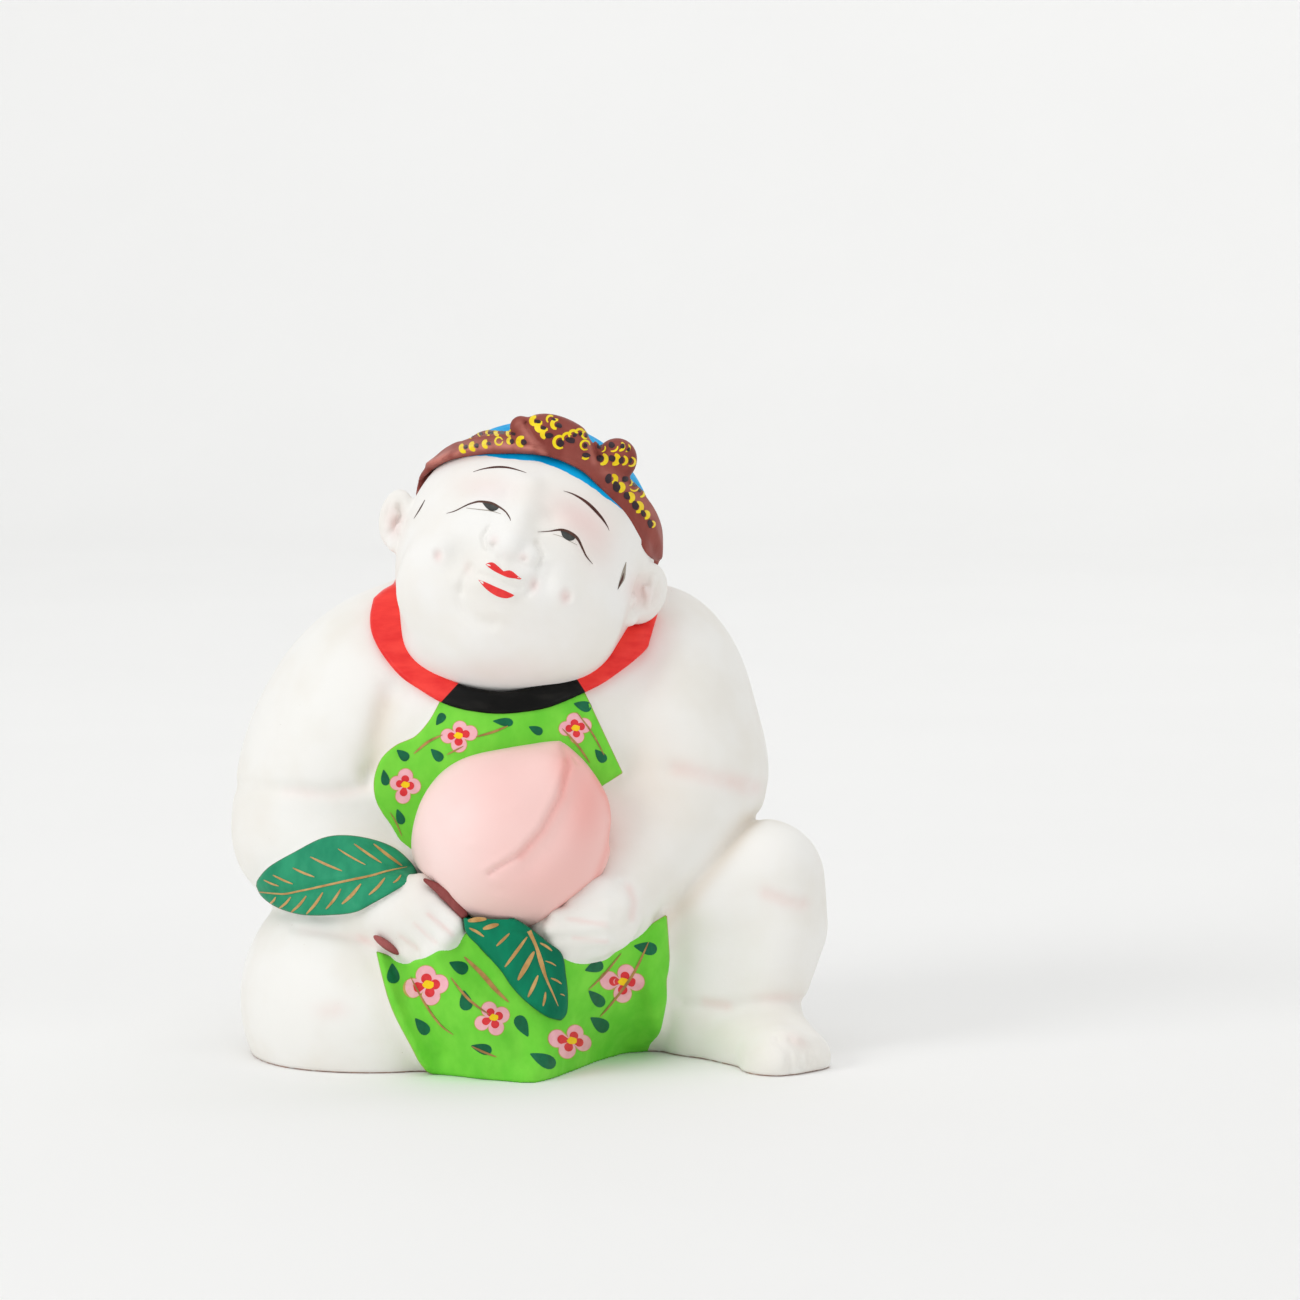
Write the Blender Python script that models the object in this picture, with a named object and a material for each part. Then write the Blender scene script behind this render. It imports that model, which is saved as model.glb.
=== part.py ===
"""A moulded clay doll: a plump seated boy who holds a peach, in a knotted headband, a round collar and an apron.

The doll is one press-moulded, fired and painted piece, so it is one closed solid. It is blended from
eggs, limbs and a few cloth and leaf outlines, meshed, thinned and cut flat at the table.

Frame: millimetres while shaping, metres on the object. +Z up, -Y the doll's front, +X to the viewer's
right. The origin is the middle of the footprint, on the table.
"""
import bpy
import bmesh
import math
import numpy as np

# ------------------------------------------------------------------ driving dimensions (mm)
MM = 0.001
CELL = 2.0                     # grid that the blended form is meshed on
SKIN = 2.2                     # even spacing of the skin before it is thinned
TRIANGLES = 8600               # faceted surface after thinning
BELOW = 5.0                    # how far the form runs under the table before it is cut flat
REACH_X, REACH_Y, TOP = 98.0, 70.0, 203.0

HEAD_R = 37.4                  # skull
FACE_R = 35.6                  # cheeks and jaw
FRONT_OF_FACE = 51.5
TORSO = (60.0, 49.0, 76.0)
CHEST = (47.0, 37.0, 36.0)
NECK = (38.0, 31.0, 22.0)
UPPER_ARM_L = (28.0, 34.0, 49.5)
UPPER_ARM_R = (22.6, 33.0, 40.5)
ELBOW_L, WRIST_L = 17.4, 12.0
ELBOW_R, WRIST_R = 17.4, 11.5
FOLDED_LEG = (36.5, 43.5, 38.5)
KNEE_R, SHIN_R, ANKLE_R = 18.2, 18.0, 15.0
SEAT = (72.0, 44.0, 45.0)
PEACH = (32.0, 34.0, 31.0)
APRON_STANDS = 1.4             # relief of the apron on the chest
COLLAR_STANDS = 2.0
COLLAR_WIDTH = 9.0
BAND_STANDS, BAND_WIDTH = 2.4, 12.4
BAND_LIFT = 9.4                # middle of the headband above the skull's centre, along its tilt
BAND_TILT = (0.275, 0.570, 0.774)
CAP_STANDS, CAP_LIFT = 0.6, 4.2
LEAF_STANDS = 2.2
STEM_R = 2.8

# The front elevation is drawn as it is seen from a little above: 3.19 of its units make a millimetre
# at the middle of the doll, u runs right, v runs down, and sight lines lead to the eye.
EYE = (37.3, -1593.0, 289.7)
EYE_DROP = math.radians(5.9)
EYE_SPAN = 5120.0
MIDDLE = 650.0


def front(u, v):
    """Where the sight line of an elevation point crosses the upright plane through the origin."""
    dx = (u - MIDDLE) / EYE_SPAN
    up = (MIDDLE - v) / EYE_SPAN
    dy = math.cos(EYE_DROP) + math.sin(EYE_DROP) * up
    dz = math.cos(EYE_DROP) * up - math.sin(EYE_DROP)
    t = -EYE[1] / dy
    return EYE[0] + t * dx, EYE[2] + t * dz


def at(u, v, y):
    """The point on that sight line at depth y."""
    a, b = front(u, v)
    k = (y - EYE[1]) / -EYE[1]
    return np.array([EYE[0] + (a - EYE[0]) * k, y, EYE[2] + (b - EYE[2]) * k])


def seen(p):
    k = -EYE[1] / (p[1] - EYE[1])
    return EYE[0] + (p[0] - EYE[0]) * k, EYE[2] + (p[2] - EYE[2]) * k


# ------------------------------------------------------------------ forms, as distances to their surface
def turn(rx=0.0, ry=0.0, rz=0.0):
    cx, sx = math.cos(math.radians(rx)), math.sin(math.radians(rx))
    cy, sy = math.cos(math.radians(ry)), math.sin(math.radians(ry))
    cz, sz = math.cos(math.radians(rz)), math.sin(math.radians(rz))
    mx = np.array([[1, 0, 0], [0, cx, -sx], [0, sx, cx]])
    my = np.array([[cy, 0, sy], [0, 1, 0], [-sy, 0, cy]])
    mz = np.array([[cz, -sz, 0], [sz, cz, 0], [0, 0, 1]])
    return my @ mx @ mz


def ball(p, c, r):
    return np.sqrt((p[0] - c[0]) ** 2 + (p[1] - c[1]) ** 2 + (p[2] - c[2]) ** 2) - r


def egg(p, c, radii, r=None):
    x, y, z = p[0] - c[0], p[1] - c[1], p[2] - c[2]
    if r is not None:
        x, y, z = (x * r[0, 0] + y * r[1, 0] + z * r[2, 0],
                   x * r[0, 1] + y * r[1, 1] + z * r[2, 1],
                   x * r[0, 2] + y * r[1, 2] + z * r[2, 2])
    ax, ay, az = x / radii[0], y / radii[1], z / radii[2]
    k0 = np.sqrt(ax * ax + ay * ay + az * az)
    k1 = np.sqrt((ax / radii[0]) ** 2 + (ay / radii[1]) ** 2 + (az / radii[2]) ** 2) + 1e-9
    return k0 * (k0 - 1) / k1


def limb(p, a, b, r1, r2):
    """A round cone from a to b."""
    d = b - a
    l2 = float(d @ d)
    rr = r1 - r2
    a2 = l2 - rr * rr
    il2 = 1 / l2
    x, y, z = p[0] - a[0], p[1] - a[1], p[2] - a[2]
    yy = x * d[0] + y * d[1] + z * d[2]
    zz = yy - l2
    wx, wy, wz = x * l2 - d[0] * yy, y * l2 - d[1] * yy, z * l2 - d[2] * yy
    x2 = wx * wx + wy * wy + wz * wz
    y2, z2 = yy * yy * l2, zz * zz * l2
    k = np.sign(rr) * rr * rr * x2
    far = np.sqrt(x2 + z2) * il2 - r2
    near = np.sqrt(x2 + y2) * il2 - r1
    side = (np.sqrt(np.maximum(x2 * a2 * il2, 0)) + yy * rr) * il2 - r1
    return np.where(np.sign(zz) * a2 * z2 > k, far, np.where(np.sign(yy) * a2 * y2 < k, near, side))


def join(a, b, k):
    """Union with a fillet of about k."""
    h = np.maximum(k - np.abs(a - b), 0) / k
    return np.minimum(a, b) - h * h * k * 0.25


def meet(a, b, k):
    return -join(-a, -b, k)


class Outline:
    """Distance to a closed curve of the front elevation, negative inside. A corner ends in 0."""

    def __init__(self, *corners, per=6, step=0.8, pad=14.0):
        q = [np.array(front(c[0], c[1])) for c in corners]
        hard = [len(c) > 2 for c in corners]
        ring = []
        for i in range(len(q)):
            p0, p1, p2, p3 = q[i - 1], q[i], q[(i + 1) % len(q)], q[(i + 2) % len(q)]
            m1 = (p2 - p1) if hard[i] else (p2 - p0) / 2
            m2 = (p2 - p1) if hard[(i + 1) % len(q)] else (p3 - p1) / 2
            for j in range(per):
                t = j / per
                ring.append((2 * t ** 3 - 3 * t * t + 1) * p1 + (t ** 3 - 2 * t * t + t) * m1
                            + (3 * t * t - 2 * t ** 3) * p2 + (t ** 3 - t * t) * m2)
        ring = np.array(ring)
        self.lo = ring.min(0) - pad
        self.step = step
        self.n = np.ceil((ring.max(0) + pad - self.lo) / step).astype(int) + 2
        X, Z = np.meshgrid(self.lo[0] + step * np.arange(self.n[0]), self.lo[1] + step * np.arange(self.n[1]), indexing="ij")
        best = np.full(X.shape, 1e9)
        inside = np.zeros(X.shape, bool)
        for a, b in zip(ring, np.roll(ring, -1, 0)):
            d = b - a
            t = np.clip(((X - a[0]) * d[0] + (Z - a[1]) * d[1]) / max(float(d @ d), 1e-12), 0, 1)
            best = np.minimum(best, (X - a[0] - d[0] * t) ** 2 + (Z - a[1] - d[1] * t) ** 2)
            if abs(d[1]) > 1e-12:
                inside ^= ((a[1] > Z) != (b[1] > Z)) & (X < a[0] + (Z - a[1]) * d[0] / d[1])
        self.field = np.where(inside, -1, 1) * np.sqrt(best)

    def __call__(self, a, b):
        fx = np.clip((a - self.lo[0]) / self.step, 0, self.n[0] - 1.001)
        fz = np.clip((b - self.lo[1]) / self.step, 0, self.n[1] - 1.001)
        ix, iz = fx.astype(int), fz.astype(int)
        tx, tz = fx - ix, fz - iz
        f = self.field
        near = ((f[ix, iz] * (1 - tx) + f[ix + 1, iz] * tx) * (1 - tz)
                + (f[ix, iz + 1] * (1 - tx) + f[ix + 1, iz + 1] * tx) * tz)
        hi = self.lo + (self.n - 1) * self.step
        return near + np.hypot(np.maximum(np.maximum(self.lo[0] - a, a - hi[0]), 0),
                               np.maximum(np.maximum(self.lo[1] - b, b - hi[1]), 0))


class Drape:
    """A smooth cloth surface: its depth over the front elevation, through a few known depths (u, v, y)."""

    def __init__(self, *known):
        self.c = np.array([front(k[0], k[1]) for k in known])
        n = len(known)
        r = np.linalg.norm(self.c[:, None] - self.c[None], axis=2)
        m = np.zeros((n + 3, n + 3))
        m[:n, :n] = r * r * np.log(r + 1e-9)
        m[:n, n] = m[n, :n] = 1
        m[:n, n + 1:] = self.c
        m[n + 1:, :n] = self.c.T
        self.w = np.linalg.solve(m, np.array([k[2] for k in known] + [0.0, 0.0, 0.0]))

    def __call__(self, a, b):
        y = self.w[-3] + self.w[-2] * a + self.w[-1] * b
        for (ca, cb), w in zip(self.c, self.w[:-3]):
            r2 = (a - ca) ** 2 + (b - cb) ** 2 + 1e-12
            y = y + w * 0.5 * r2 * np.log(r2)
        return y


def leaf_outline(base, tip, above, below, fullest=0.5, count=7):
    """A pointed leaf from base to tip: how far it swells above and below its chord."""
    (u0, v0), (u1, v1) = base, tip
    length = math.hypot(u1 - u0, v1 - v0)
    nx, ny = (v1 - v0) / length, -(u1 - u0) / length
    if ny > 0:
        nx, ny = -nx, -ny
    power = math.log(0.5) / math.log(fullest)

    def side(width, ts):
        return [(u0 + (u1 - u0) * t + nx * width * math.sin(math.pi * t ** power) ** 0.8,
                 v0 + (v1 - v0) * t + ny * width * math.sin(math.pi * t ** power) ** 0.8) for t in ts]

    ts = [(i + 1) / (count + 1) for i in range(count)]
    return Outline((u0, v0, 0), *side(above, ts), (u1, v1, 0), *side(-below, ts[::-1]))


# ------------------------------------------------------------------ the cloths and leaves
bib = Outline((440, 700), (415, 736), (378, 764), (376, 800), (392, 828), (420, 880, 0), (520, 900, 0), (600, 850, 0),
              (598, 789, 0), (623, 773, 0), (585, 692, 0))
skirt = Outline((376, 951, 0), (392, 1010), (421, 1065), (472, 1081), (560, 1100, 0), (654, 1058, 0), (668, 1006),
                (667, 914, 0), (615, 946), (564, 957), (480, 925, 0), (446, 944), (415, 959))
skirt_depth = Drape((376, 951, -52), (392, 1010, -55.5), (421, 1065, -53.5), (500, 1081, -61.5), (535, 1083, -64.5),
                    (574, 1071, -45), (600, 1061, -29), (654, 1050, -9), (667, 1000, -19), (667, 914, -33),
                    (610, 960, -44), (640, 1000, -27), (560, 970, -55), (440, 955, -56), (480, 1010, -62),
                    (545, 1030, -57), (600, 1015, -41))
peach_outline = Outline((562, 742, 0), (586, 763), (608, 799), (609, 842), (590, 884), (537, 925), (470, 918),
                        (418, 868), (414, 822), (443, 771), (512, 747))
leaf_on_arm = leaf_outline((417, 871), (256, 886), 41, 36, 0.48)
leaf_on_apron = leaf_outline((463, 918), (562, 1021), 39, 18, 0.45)


def head_form(p):
    skull = at(534, 541, -6)
    h = egg(p, skull, (HEAD_R, 40, HEAD_R))
    h = join(h, egg(p, at(513, 580, 36.5 - FRONT_OF_FACE), (FACE_R, 36.5, FACE_R - 0.8)), 12)
    h = join(h, egg(p, at(447, 588, -36.2), (15, 8, 16), turn(0, 20, 0)), 8)         # cheeks
    h = join(h, egg(p, at(571, 615, -35.2), (15, 8, 15), turn(0, 20, 0)), 8)
    h = join(h, egg(p, at(500, 581, -44.6), (10.5, 7, 7.2), turn(0, 22, 0)), 4)      # mouth
    h = join(h, egg(p, at(482, 627, -41.2), (9, 6, 7), turn(0, 22, 0)), 5)           # chin
    h = join(h, egg(p, at(506, 640, -24), (30, 18, 16.5)), 10)                       # double chin
    h = join(h, limb(p, at(527, 496, -40.2), at(511, 543, -49.3), 2.4, 3.7), 5)      # nose
    h = join(h, ball(p, at(494, 541, -48.4), 2.8), 1.6)
    h = join(h, ball(p, at(526, 556, -49.2), 3.3), 1.8)
    for c, radii, tilt, side in ((at(642, 593, -20), (9.0, 3.8, 10.0), turn(0, 18, 36), 1), (at(397, 519, -12), (5.9, 3.6, 9.3), turn(0, 10, -26), -1)):
        w, t = radii[0], radii[2]
        h = join(h, egg(p, c, radii, tilt), 1.8)                                     # ears
        h = meet(h, -egg(p, c + tilt @ np.array([-0.12 * side * w, -4.6, 0.1 * t]), (w * 0.6, 3.6, t * 0.6), tilt), 1.2)
    return h, skull


def doll(p):
    """Distance to the whole painted figure."""
    x, y, z = p
    a, b = seen(p)
    head, skull = head_form(p)

    torso = join(egg(p, at(512, 800, 13), TORSO), egg(p, at(508, 725, -3), CHEST), 10)
    torso = join(torso, egg(p, (-4, 12, 134), NECK), 8)
    chest = join(torso, egg(p, at(334, 752, 4), UPPER_ARM_L, turn(0, 20, 0)), 24)
    chest = join(chest, egg(p, at(685, 722, 6), UPPER_ARM_R, turn(0, -8, 0)), 24)
    arm_l = limb(p, at(291, 840, -8), at(392, 915, -38), ELBOW_L, WRIST_L)
    arm_r = limb(p, at(700, 778, -3), at(615, 900, -36), ELBOW_R, WRIST_R)
    body = join(join(chest, arm_r, 16), arm_l, 12)

    leg_l = join(egg(p, at(358, 999, -8.5), FOLDED_LEG), limb(p, at(400, 1010, -28), at(520, 1005, -22), 23, 18), 12)
    shin = np.minimum(limb(p, at(765, 879, -12), at(770, 925, -13), KNEE_R, SHIN_R), limb(p, at(770, 925, -13), at(759, 985, -15), SHIN_R, ANKLE_R))
    leg_r = join(shin, limb(p, at(764, 878, -8), at(640, 940, 25), KNEE_R, 26), 10)
    leg_r = join(leg_r, limb(p, at(718, 905, -7), at(711, 998, -8), 15.5, 16.0), 9)
    foot = join(limb(p, at(706, 1032, -9), at(783, 1055, -45), 12.0, 8.4),
                limb(p, at(745, 1006, -10), at(810, 1052, -38), 12.5, 6.4), 7)
    leg_r = join(leg_r, foot, 5)
    leg_r = join(leg_r, egg(p, at(700, 992, 0), (17, 22, 27)), 10)                   # calf
    body = join(join(body, leg_l, 5), leg_r, 4)
    body = join(body, egg(p, at(520, 960, 22), SEAT), 10)
    body = join(body, egg(p, at(412, 922, -46), (15, 9, 11), turn(0, 25, 0)), 4)     # hands
    body = join(body, egg(p, at(592, 921, -46), (14.5, 9, 9.5), turn(0, -20, 0)), 4)

    solid = np.minimum(body, head)
    solid = np.minimum(solid, np.maximum(meet(chest - APRON_STANDS, bib(a, b), 1.5), y))
    depth = skirt_depth(a, b)
    solid = np.minimum(solid, meet(np.maximum(depth - y, y - 12) * 0.75, skirt(a, b), 2.0))
    solid = np.minimum(solid, meet(egg(p, at(512, 835, -32), PEACH), peach_outline(a, b), 3.0))
    lap = join(join(chest, arm_l, 12), leg_l, 16)
    solid = np.minimum(solid, np.maximum(meet(lap - LEAF_STANDS, leaf_on_arm(a, b), 1.6), y - 2))
    lower = np.maximum(depth - 2.6 - y, y - depth - 5) * 0.8
    solid = np.minimum(solid, meet(lower, leaf_on_apron(a, b), 1.6))

    # collar: an oval in the front elevation, carried round the nape as an oval in plan
    ca, cb = front(513, 615)
    oval = (np.sqrt(((a - ca) / 45.0) ** 2 + ((b - cb) / 31.6) ** 2) - 1) * 31
    plan = (np.sqrt(((x + 4) / 45.5) ** 2 + ((y - 8) / 38) ** 2) - 1) * 38
    nape = np.clip((y - 2) / 12, 0, 1)
    ring = oval * (1 - nape) + np.maximum(plan, -plan - COLLAR_WIDTH) * nape
    solid = np.minimum(solid, meet(chest - COLLAR_STANDS, ring, 2.0))

    # cap and knotted band
    lift = (x - skull[0]) * BAND_TILT[0] + (y - skull[1]) * BAND_TILT[1] + (z - skull[2]) * BAND_TILT[2]
    band = meet(head - BAND_STANDS, np.abs(lift - BAND_LIFT) - BAND_WIDTH / 2, 3.0)
    knot = join(egg(p, at(563, 442, -26), (12.5, 7.5, 6.6), turn(0, 27, 0)),
                egg(p, at(616, 461, -21), (5.8, 7.5, 6.4), turn(0, 27, 0)), 2)
    solid = np.minimum(solid, join(band, knot, 2))
    solid = np.minimum(solid, meet(head - CAP_STANDS, CAP_LIFT - lift, 0.8))

    # stem, above and below the hand that holds it
    solid = np.minimum(solid, limb(p, at(420, 878, -58), at(466, 922, -60), STEM_R - 0.4, STEM_R + 0.2))
    solid = np.minimum(solid, limb(p, at(378, 938, -52), at(397, 951, -54), STEM_R - 0.2, STEM_R - 0.2))
    return np.maximum(solid, -z - BELOW)


# ------------------------------------------------------------------ meshing
def surface(field, lo, counts, cell):
    """Closed quad surface where the field changes sign on a grid of cells."""
    axes = [lo[i] + cell * np.arange(counts[i]) for i in range(3)]
    value = np.empty(counts)
    for i, x in enumerate(axes[0]):
        Y, Z = np.meshgrid(axes[1], axes[2], indexing="ij")
        value[i] = field((np.full(Y.shape, x), Y, Z))
    inner = value < 0
    size = [n - 1 for n in counts]
    total = np.zeros(size + [3])
    hits = np.zeros(size)

    def part(array, off):
        return array[off[0]:off[0] + size[0], off[1]:off[1] + size[1], off[2]:off[2] + size[2]]

    corners = [(i, j, k) for i in (0, 1) for j in (0, 1) for k in (0, 1)]
    for c in corners:
        for axis in range(3):
            if c[axis]:
                continue
            d = list(c)
            d[axis] = 1
            va, vb = part(value, c), part(value, d)
            cut = part(inner, c) != part(inner, d)
            t = np.where(cut, va / np.where(cut, va - vb, 1), 0)
            for q in range(3):
                total[..., q] += np.where(cut, c[q] + (t if q == axis else 0), 0)
            hits += cut
    used = hits > 0
    index = np.full(size, -1)
    index[used] = np.arange(used.sum())
    where = np.argwhere(used)
    verts = np.array(lo) + cell * (where + total[used] / hits[used][:, None])
    faces = []
    for axis in range(3):
        u, v = (axis + 1) % 3, (axis + 2) % 3
        a = [slice(1, -1)] * 3
        a[axis] = slice(0, -1)
        b = list(a)
        b[axis] = slice(1, None)
        cut = inner[tuple(a)] != inner[tuple(b)]
        spots = np.argwhere(cut)
        outward = inner[tuple(a)][cut]
        for q in (u, v):
            spots[:, q] += 1
        quad = []
        for du, dv in ((-1, -1), (0, -1), (0, 0), (-1, 0)):
            s = spots.copy()
            s[:, u] += du
            s[:, v] += dv
            quad.append(index[s[:, 0], s[:, 1], s[:, 2]])
        quad = np.stack(quad, 1)
        faces.append(np.where(outward[:, None], quad, quad[:, ::-1]))
    return verts, np.concatenate(faces)


def settle(field, verts, rounds=2, e=0.15):
    """Move the vertices onto the surface itself."""
    v = verts.copy()
    for _ in range(rounds):
        f = field((v[:, 0], v[:, 1], v[:, 2]))
        g = np.empty_like(v)
        for axis in range(3):
            step = np.zeros(3)
            step[axis] = e
            hi, lo = v + step, v - step
            g[:, axis] = (field((hi[:, 0], hi[:, 1], hi[:, 2])) - field((lo[:, 0], lo[:, 1], lo[:, 2]))) / (2 * e)
        g2 = np.maximum((g * g).sum(1), 0.25)
        move = -f[:, None] * g / g2[:, None]
        size = np.linalg.norm(move, axis=1, keepdims=True)
        v += move * np.minimum(1, 0.5 * CELL / np.maximum(size, 1e-9))
    return v


def largest_shell(verts, faces):
    """Only the outer skin: the pockets sealed inside the solid are dropped."""
    group = np.arange(len(verts))
    while True:
        low = group[faces].min(1)
        new = group.copy()
        for k in range(faces.shape[1]):
            np.minimum.at(new, faces[:, k], low)
        new = new[new]
        if (new == group).all():
            break
        group = new
    names, counts = np.unique(group, return_counts=True)
    keep = group == names[counts.argmax()]
    number = np.cumsum(keep) - 1
    faces = faces[keep[faces[:, 0]]]
    return verts[keep], number[faces]


# ------------------------------------------------------------------ objects
def clear_scene():
    for obj in list(bpy.data.objects):
        bpy.data.objects.remove(obj, do_unlink=True)


def clay_material():
    m = bpy.data.materials.new("white_painted_clay")
    m.use_nodes = True
    shader = m.node_tree.nodes["Principled BSDF"]
    shader.inputs["Base Color"].default_value = (0.89, 0.87, 0.84, 1.0)
    shader.inputs["Roughness"].default_value = 0.55
    shader.inputs["Metallic"].default_value = 0.0
    return m


def mesh_object(name, verts, faces):
    mesh = bpy.data.meshes.new(name)
    mesh.from_pydata([tuple(float(c) * MM for c in v) for v in verts], [], [tuple(int(i) for i in f) for f in faces])
    mesh.update()
    obj = bpy.data.objects.new(name, mesh)
    bpy.context.scene.collection.objects.link(obj)
    return obj


def table_cutter():
    """The block below the table that cuts the doll's base flat."""
    bm = bmesh.new()
    bmesh.ops.create_cube(bm, size=1.0)
    bmesh.ops.scale(bm, vec=(0.4, 0.4, 0.04), verts=bm.verts)
    bmesh.ops.translate(bm, vec=(0.0, 0.0, -0.02), verts=bm.verts)
    mesh = bpy.data.meshes.new("table_cutter")
    bm.to_mesh(mesh)
    bm.free()
    obj = bpy.data.objects.new("table_cutter", mesh)
    bpy.context.scene.collection.objects.link(obj)
    obj.hide_render = True
    obj.display_type = "WIRE"
    return obj


def build():
    clear_scene()
    lo = (-REACH_X, -REACH_Y, -BELOW - 3 * CELL)
    hi = (REACH_X, REACH_Y, TOP + 2 * CELL)
    counts = [int(math.ceil((hi[i] - lo[i]) / CELL)) + 1 for i in range(3)]
    verts, faces = surface(doll, lo, counts, CELL)
    verts, faces = largest_shell(verts, faces)
    verts = settle(doll, verts)
    obj = mesh_object("clay_doll", verts, faces)
    obj.data.materials.append(clay_material())
    even = obj.modifiers.new("even_skin", "REMESH")
    even.mode = "VOXEL"
    even.voxel_size = SKIN * MM
    even.use_smooth_shade = True
    area = sum(np.linalg.norm(np.cross(verts[faces[:, 2]] - verts[faces[:, 0]], verts[faces[:, 3]] - verts[faces[:, 1]]), axis=1)) / 2
    thin = obj.modifiers.new("thin", "DECIMATE")
    thin.decimate_type = "COLLAPSE"
    thin.ratio = TRIANGLES / (3.0 * area / SKIN ** 2)
    thin.use_collapse_triangulate = True
    cut = obj.modifiers.new("flat_base", "BOOLEAN")
    cut.operation = "DIFFERENCE"
    cut.solver = "EXACT"
    cut.object = table_cutter()
    obj.data.shade_smooth()
    return obj


build()
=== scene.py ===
import bpy
import math
import numpy as np
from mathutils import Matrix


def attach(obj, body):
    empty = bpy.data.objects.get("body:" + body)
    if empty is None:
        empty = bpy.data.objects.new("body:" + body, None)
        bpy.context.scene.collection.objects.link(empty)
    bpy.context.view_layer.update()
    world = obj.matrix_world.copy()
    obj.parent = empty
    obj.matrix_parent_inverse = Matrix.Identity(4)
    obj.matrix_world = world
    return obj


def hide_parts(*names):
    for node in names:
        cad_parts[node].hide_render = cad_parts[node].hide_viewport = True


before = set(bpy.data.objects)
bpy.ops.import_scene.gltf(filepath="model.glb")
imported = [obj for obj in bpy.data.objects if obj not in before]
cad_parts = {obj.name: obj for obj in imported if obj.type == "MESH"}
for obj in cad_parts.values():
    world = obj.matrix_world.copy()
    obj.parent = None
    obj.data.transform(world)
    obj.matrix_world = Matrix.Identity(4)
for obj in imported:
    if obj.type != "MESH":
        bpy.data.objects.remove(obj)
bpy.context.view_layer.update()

MM = 0.001
FINE = 1.0

# ------------------------------------------------------------------ the front elevation
# Seen from a little above: 3.19 units to a millimetre at the middle of the doll, u right, v down.
EYE = (37.3, -1593.0, 289.7)
EYE_DROP = math.radians(5.9)
EYE_SPAN = 5120.0
MIDDLE = 650.0
UNIT = 1 / 3.19


def front(u, v):
    """Where the sight line of an elevation point crosses the upright plane through the origin."""
    dx = (u - MIDDLE) / EYE_SPAN
    up = (MIDDLE - v) / EYE_SPAN
    dy = math.cos(EYE_DROP) + math.sin(EYE_DROP) * up
    dz = math.cos(EYE_DROP) * up - math.sin(EYE_DROP)
    t = -EYE[1] / dy
    return EYE[0] + t * dx, EYE[2] + t * dz


def at(u, v, y):
    a, b = front(u, v)
    k = (y - EYE[1]) / -EYE[1]
    return np.array([EYE[0] + (a - EYE[0]) * k, y, EYE[2] + (b - EYE[2]) * k])


def seen(p):
    k = -EYE[1] / (p[1] - EYE[1])
    return EYE[0] + (p[0] - EYE[0]) * k, EYE[2] + (p[2] - EYE[2]) * k


# ------------------------------------------------------------------ forms, as distances to their surface (mm)
def turn(rx=0.0, ry=0.0, rz=0.0):
    cx, sx = math.cos(math.radians(rx)), math.sin(math.radians(rx))
    cy, sy = math.cos(math.radians(ry)), math.sin(math.radians(ry))
    cz, sz = math.cos(math.radians(rz)), math.sin(math.radians(rz))
    mx = np.array([[1, 0, 0], [0, cx, -sx], [0, sx, cx]])
    my = np.array([[cy, 0, sy], [0, 1, 0], [-sy, 0, cy]])
    mz = np.array([[cz, -sz, 0], [sz, cz, 0], [0, 0, 1]])
    return my @ mx @ mz


def ball(p, c, r):
    return np.sqrt((p[0] - c[0]) ** 2 + (p[1] - c[1]) ** 2 + (p[2] - c[2]) ** 2) - r


def egg(p, c, radii, r=None):
    x, y, z = p[0] - c[0], p[1] - c[1], p[2] - c[2]
    if r is not None:
        x, y, z = (x * r[0, 0] + y * r[1, 0] + z * r[2, 0],
                   x * r[0, 1] + y * r[1, 1] + z * r[2, 1],
                   x * r[0, 2] + y * r[1, 2] + z * r[2, 2])
    ax, ay, az = x / radii[0], y / radii[1], z / radii[2]
    k0 = np.sqrt(ax * ax + ay * ay + az * az)
    k1 = np.sqrt((ax / radii[0]) ** 2 + (ay / radii[1]) ** 2 + (az / radii[2]) ** 2) + 1e-9
    return k0 * (k0 - 1) / k1


def limb(p, a, b, r1, r2):
    d = b - a
    l2 = float(d @ d)
    rr = r1 - r2
    a2 = l2 - rr * rr
    il2 = 1 / l2
    x, y, z = p[0] - a[0], p[1] - a[1], p[2] - a[2]
    yy = x * d[0] + y * d[1] + z * d[2]
    zz = yy - l2
    wx, wy, wz = x * l2 - d[0] * yy, y * l2 - d[1] * yy, z * l2 - d[2] * yy
    x2 = wx * wx + wy * wy + wz * wz
    y2, z2 = yy * yy * l2, zz * zz * l2
    k = np.sign(rr) * rr * rr * x2
    far = np.sqrt(x2 + z2) * il2 - r2
    near = np.sqrt(x2 + y2) * il2 - r1
    side = (np.sqrt(np.maximum(x2 * a2 * il2, 0)) + yy * rr) * il2 - r1
    return np.where(np.sign(zz) * a2 * z2 > k, far, np.where(np.sign(yy) * a2 * y2 < k, near, side))


def join(a, b, k):
    h = np.maximum(k - np.abs(a - b), 0) / k
    return np.minimum(a, b) - h * h * k * 0.25


def meet(a, b, k):
    return -join(-a, -b, k)


def smooth(x):
    x = np.clip(x, 0, 1)
    return x * x * (3 - 2 * x)


def run_distance(a, b, *line):
    """Distance in the elevation to a chain of points, in millimetres."""
    q = [front(*pt) for pt in line]
    best = None
    for (x0, z0), (x1, z1) in zip(q[:-1], q[1:]):
        dx, dz = x1 - x0, z1 - z0
        t = np.clip(((a - x0) * dx + (b - z0) * dz) / (dx * dx + dz * dz), 0, 1)
        now = (a - x0 - dx * t) ** 2 + (b - z0 - dz * t) ** 2
        best = now if best is None else np.minimum(best, now)
    return np.sqrt(best)


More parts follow.
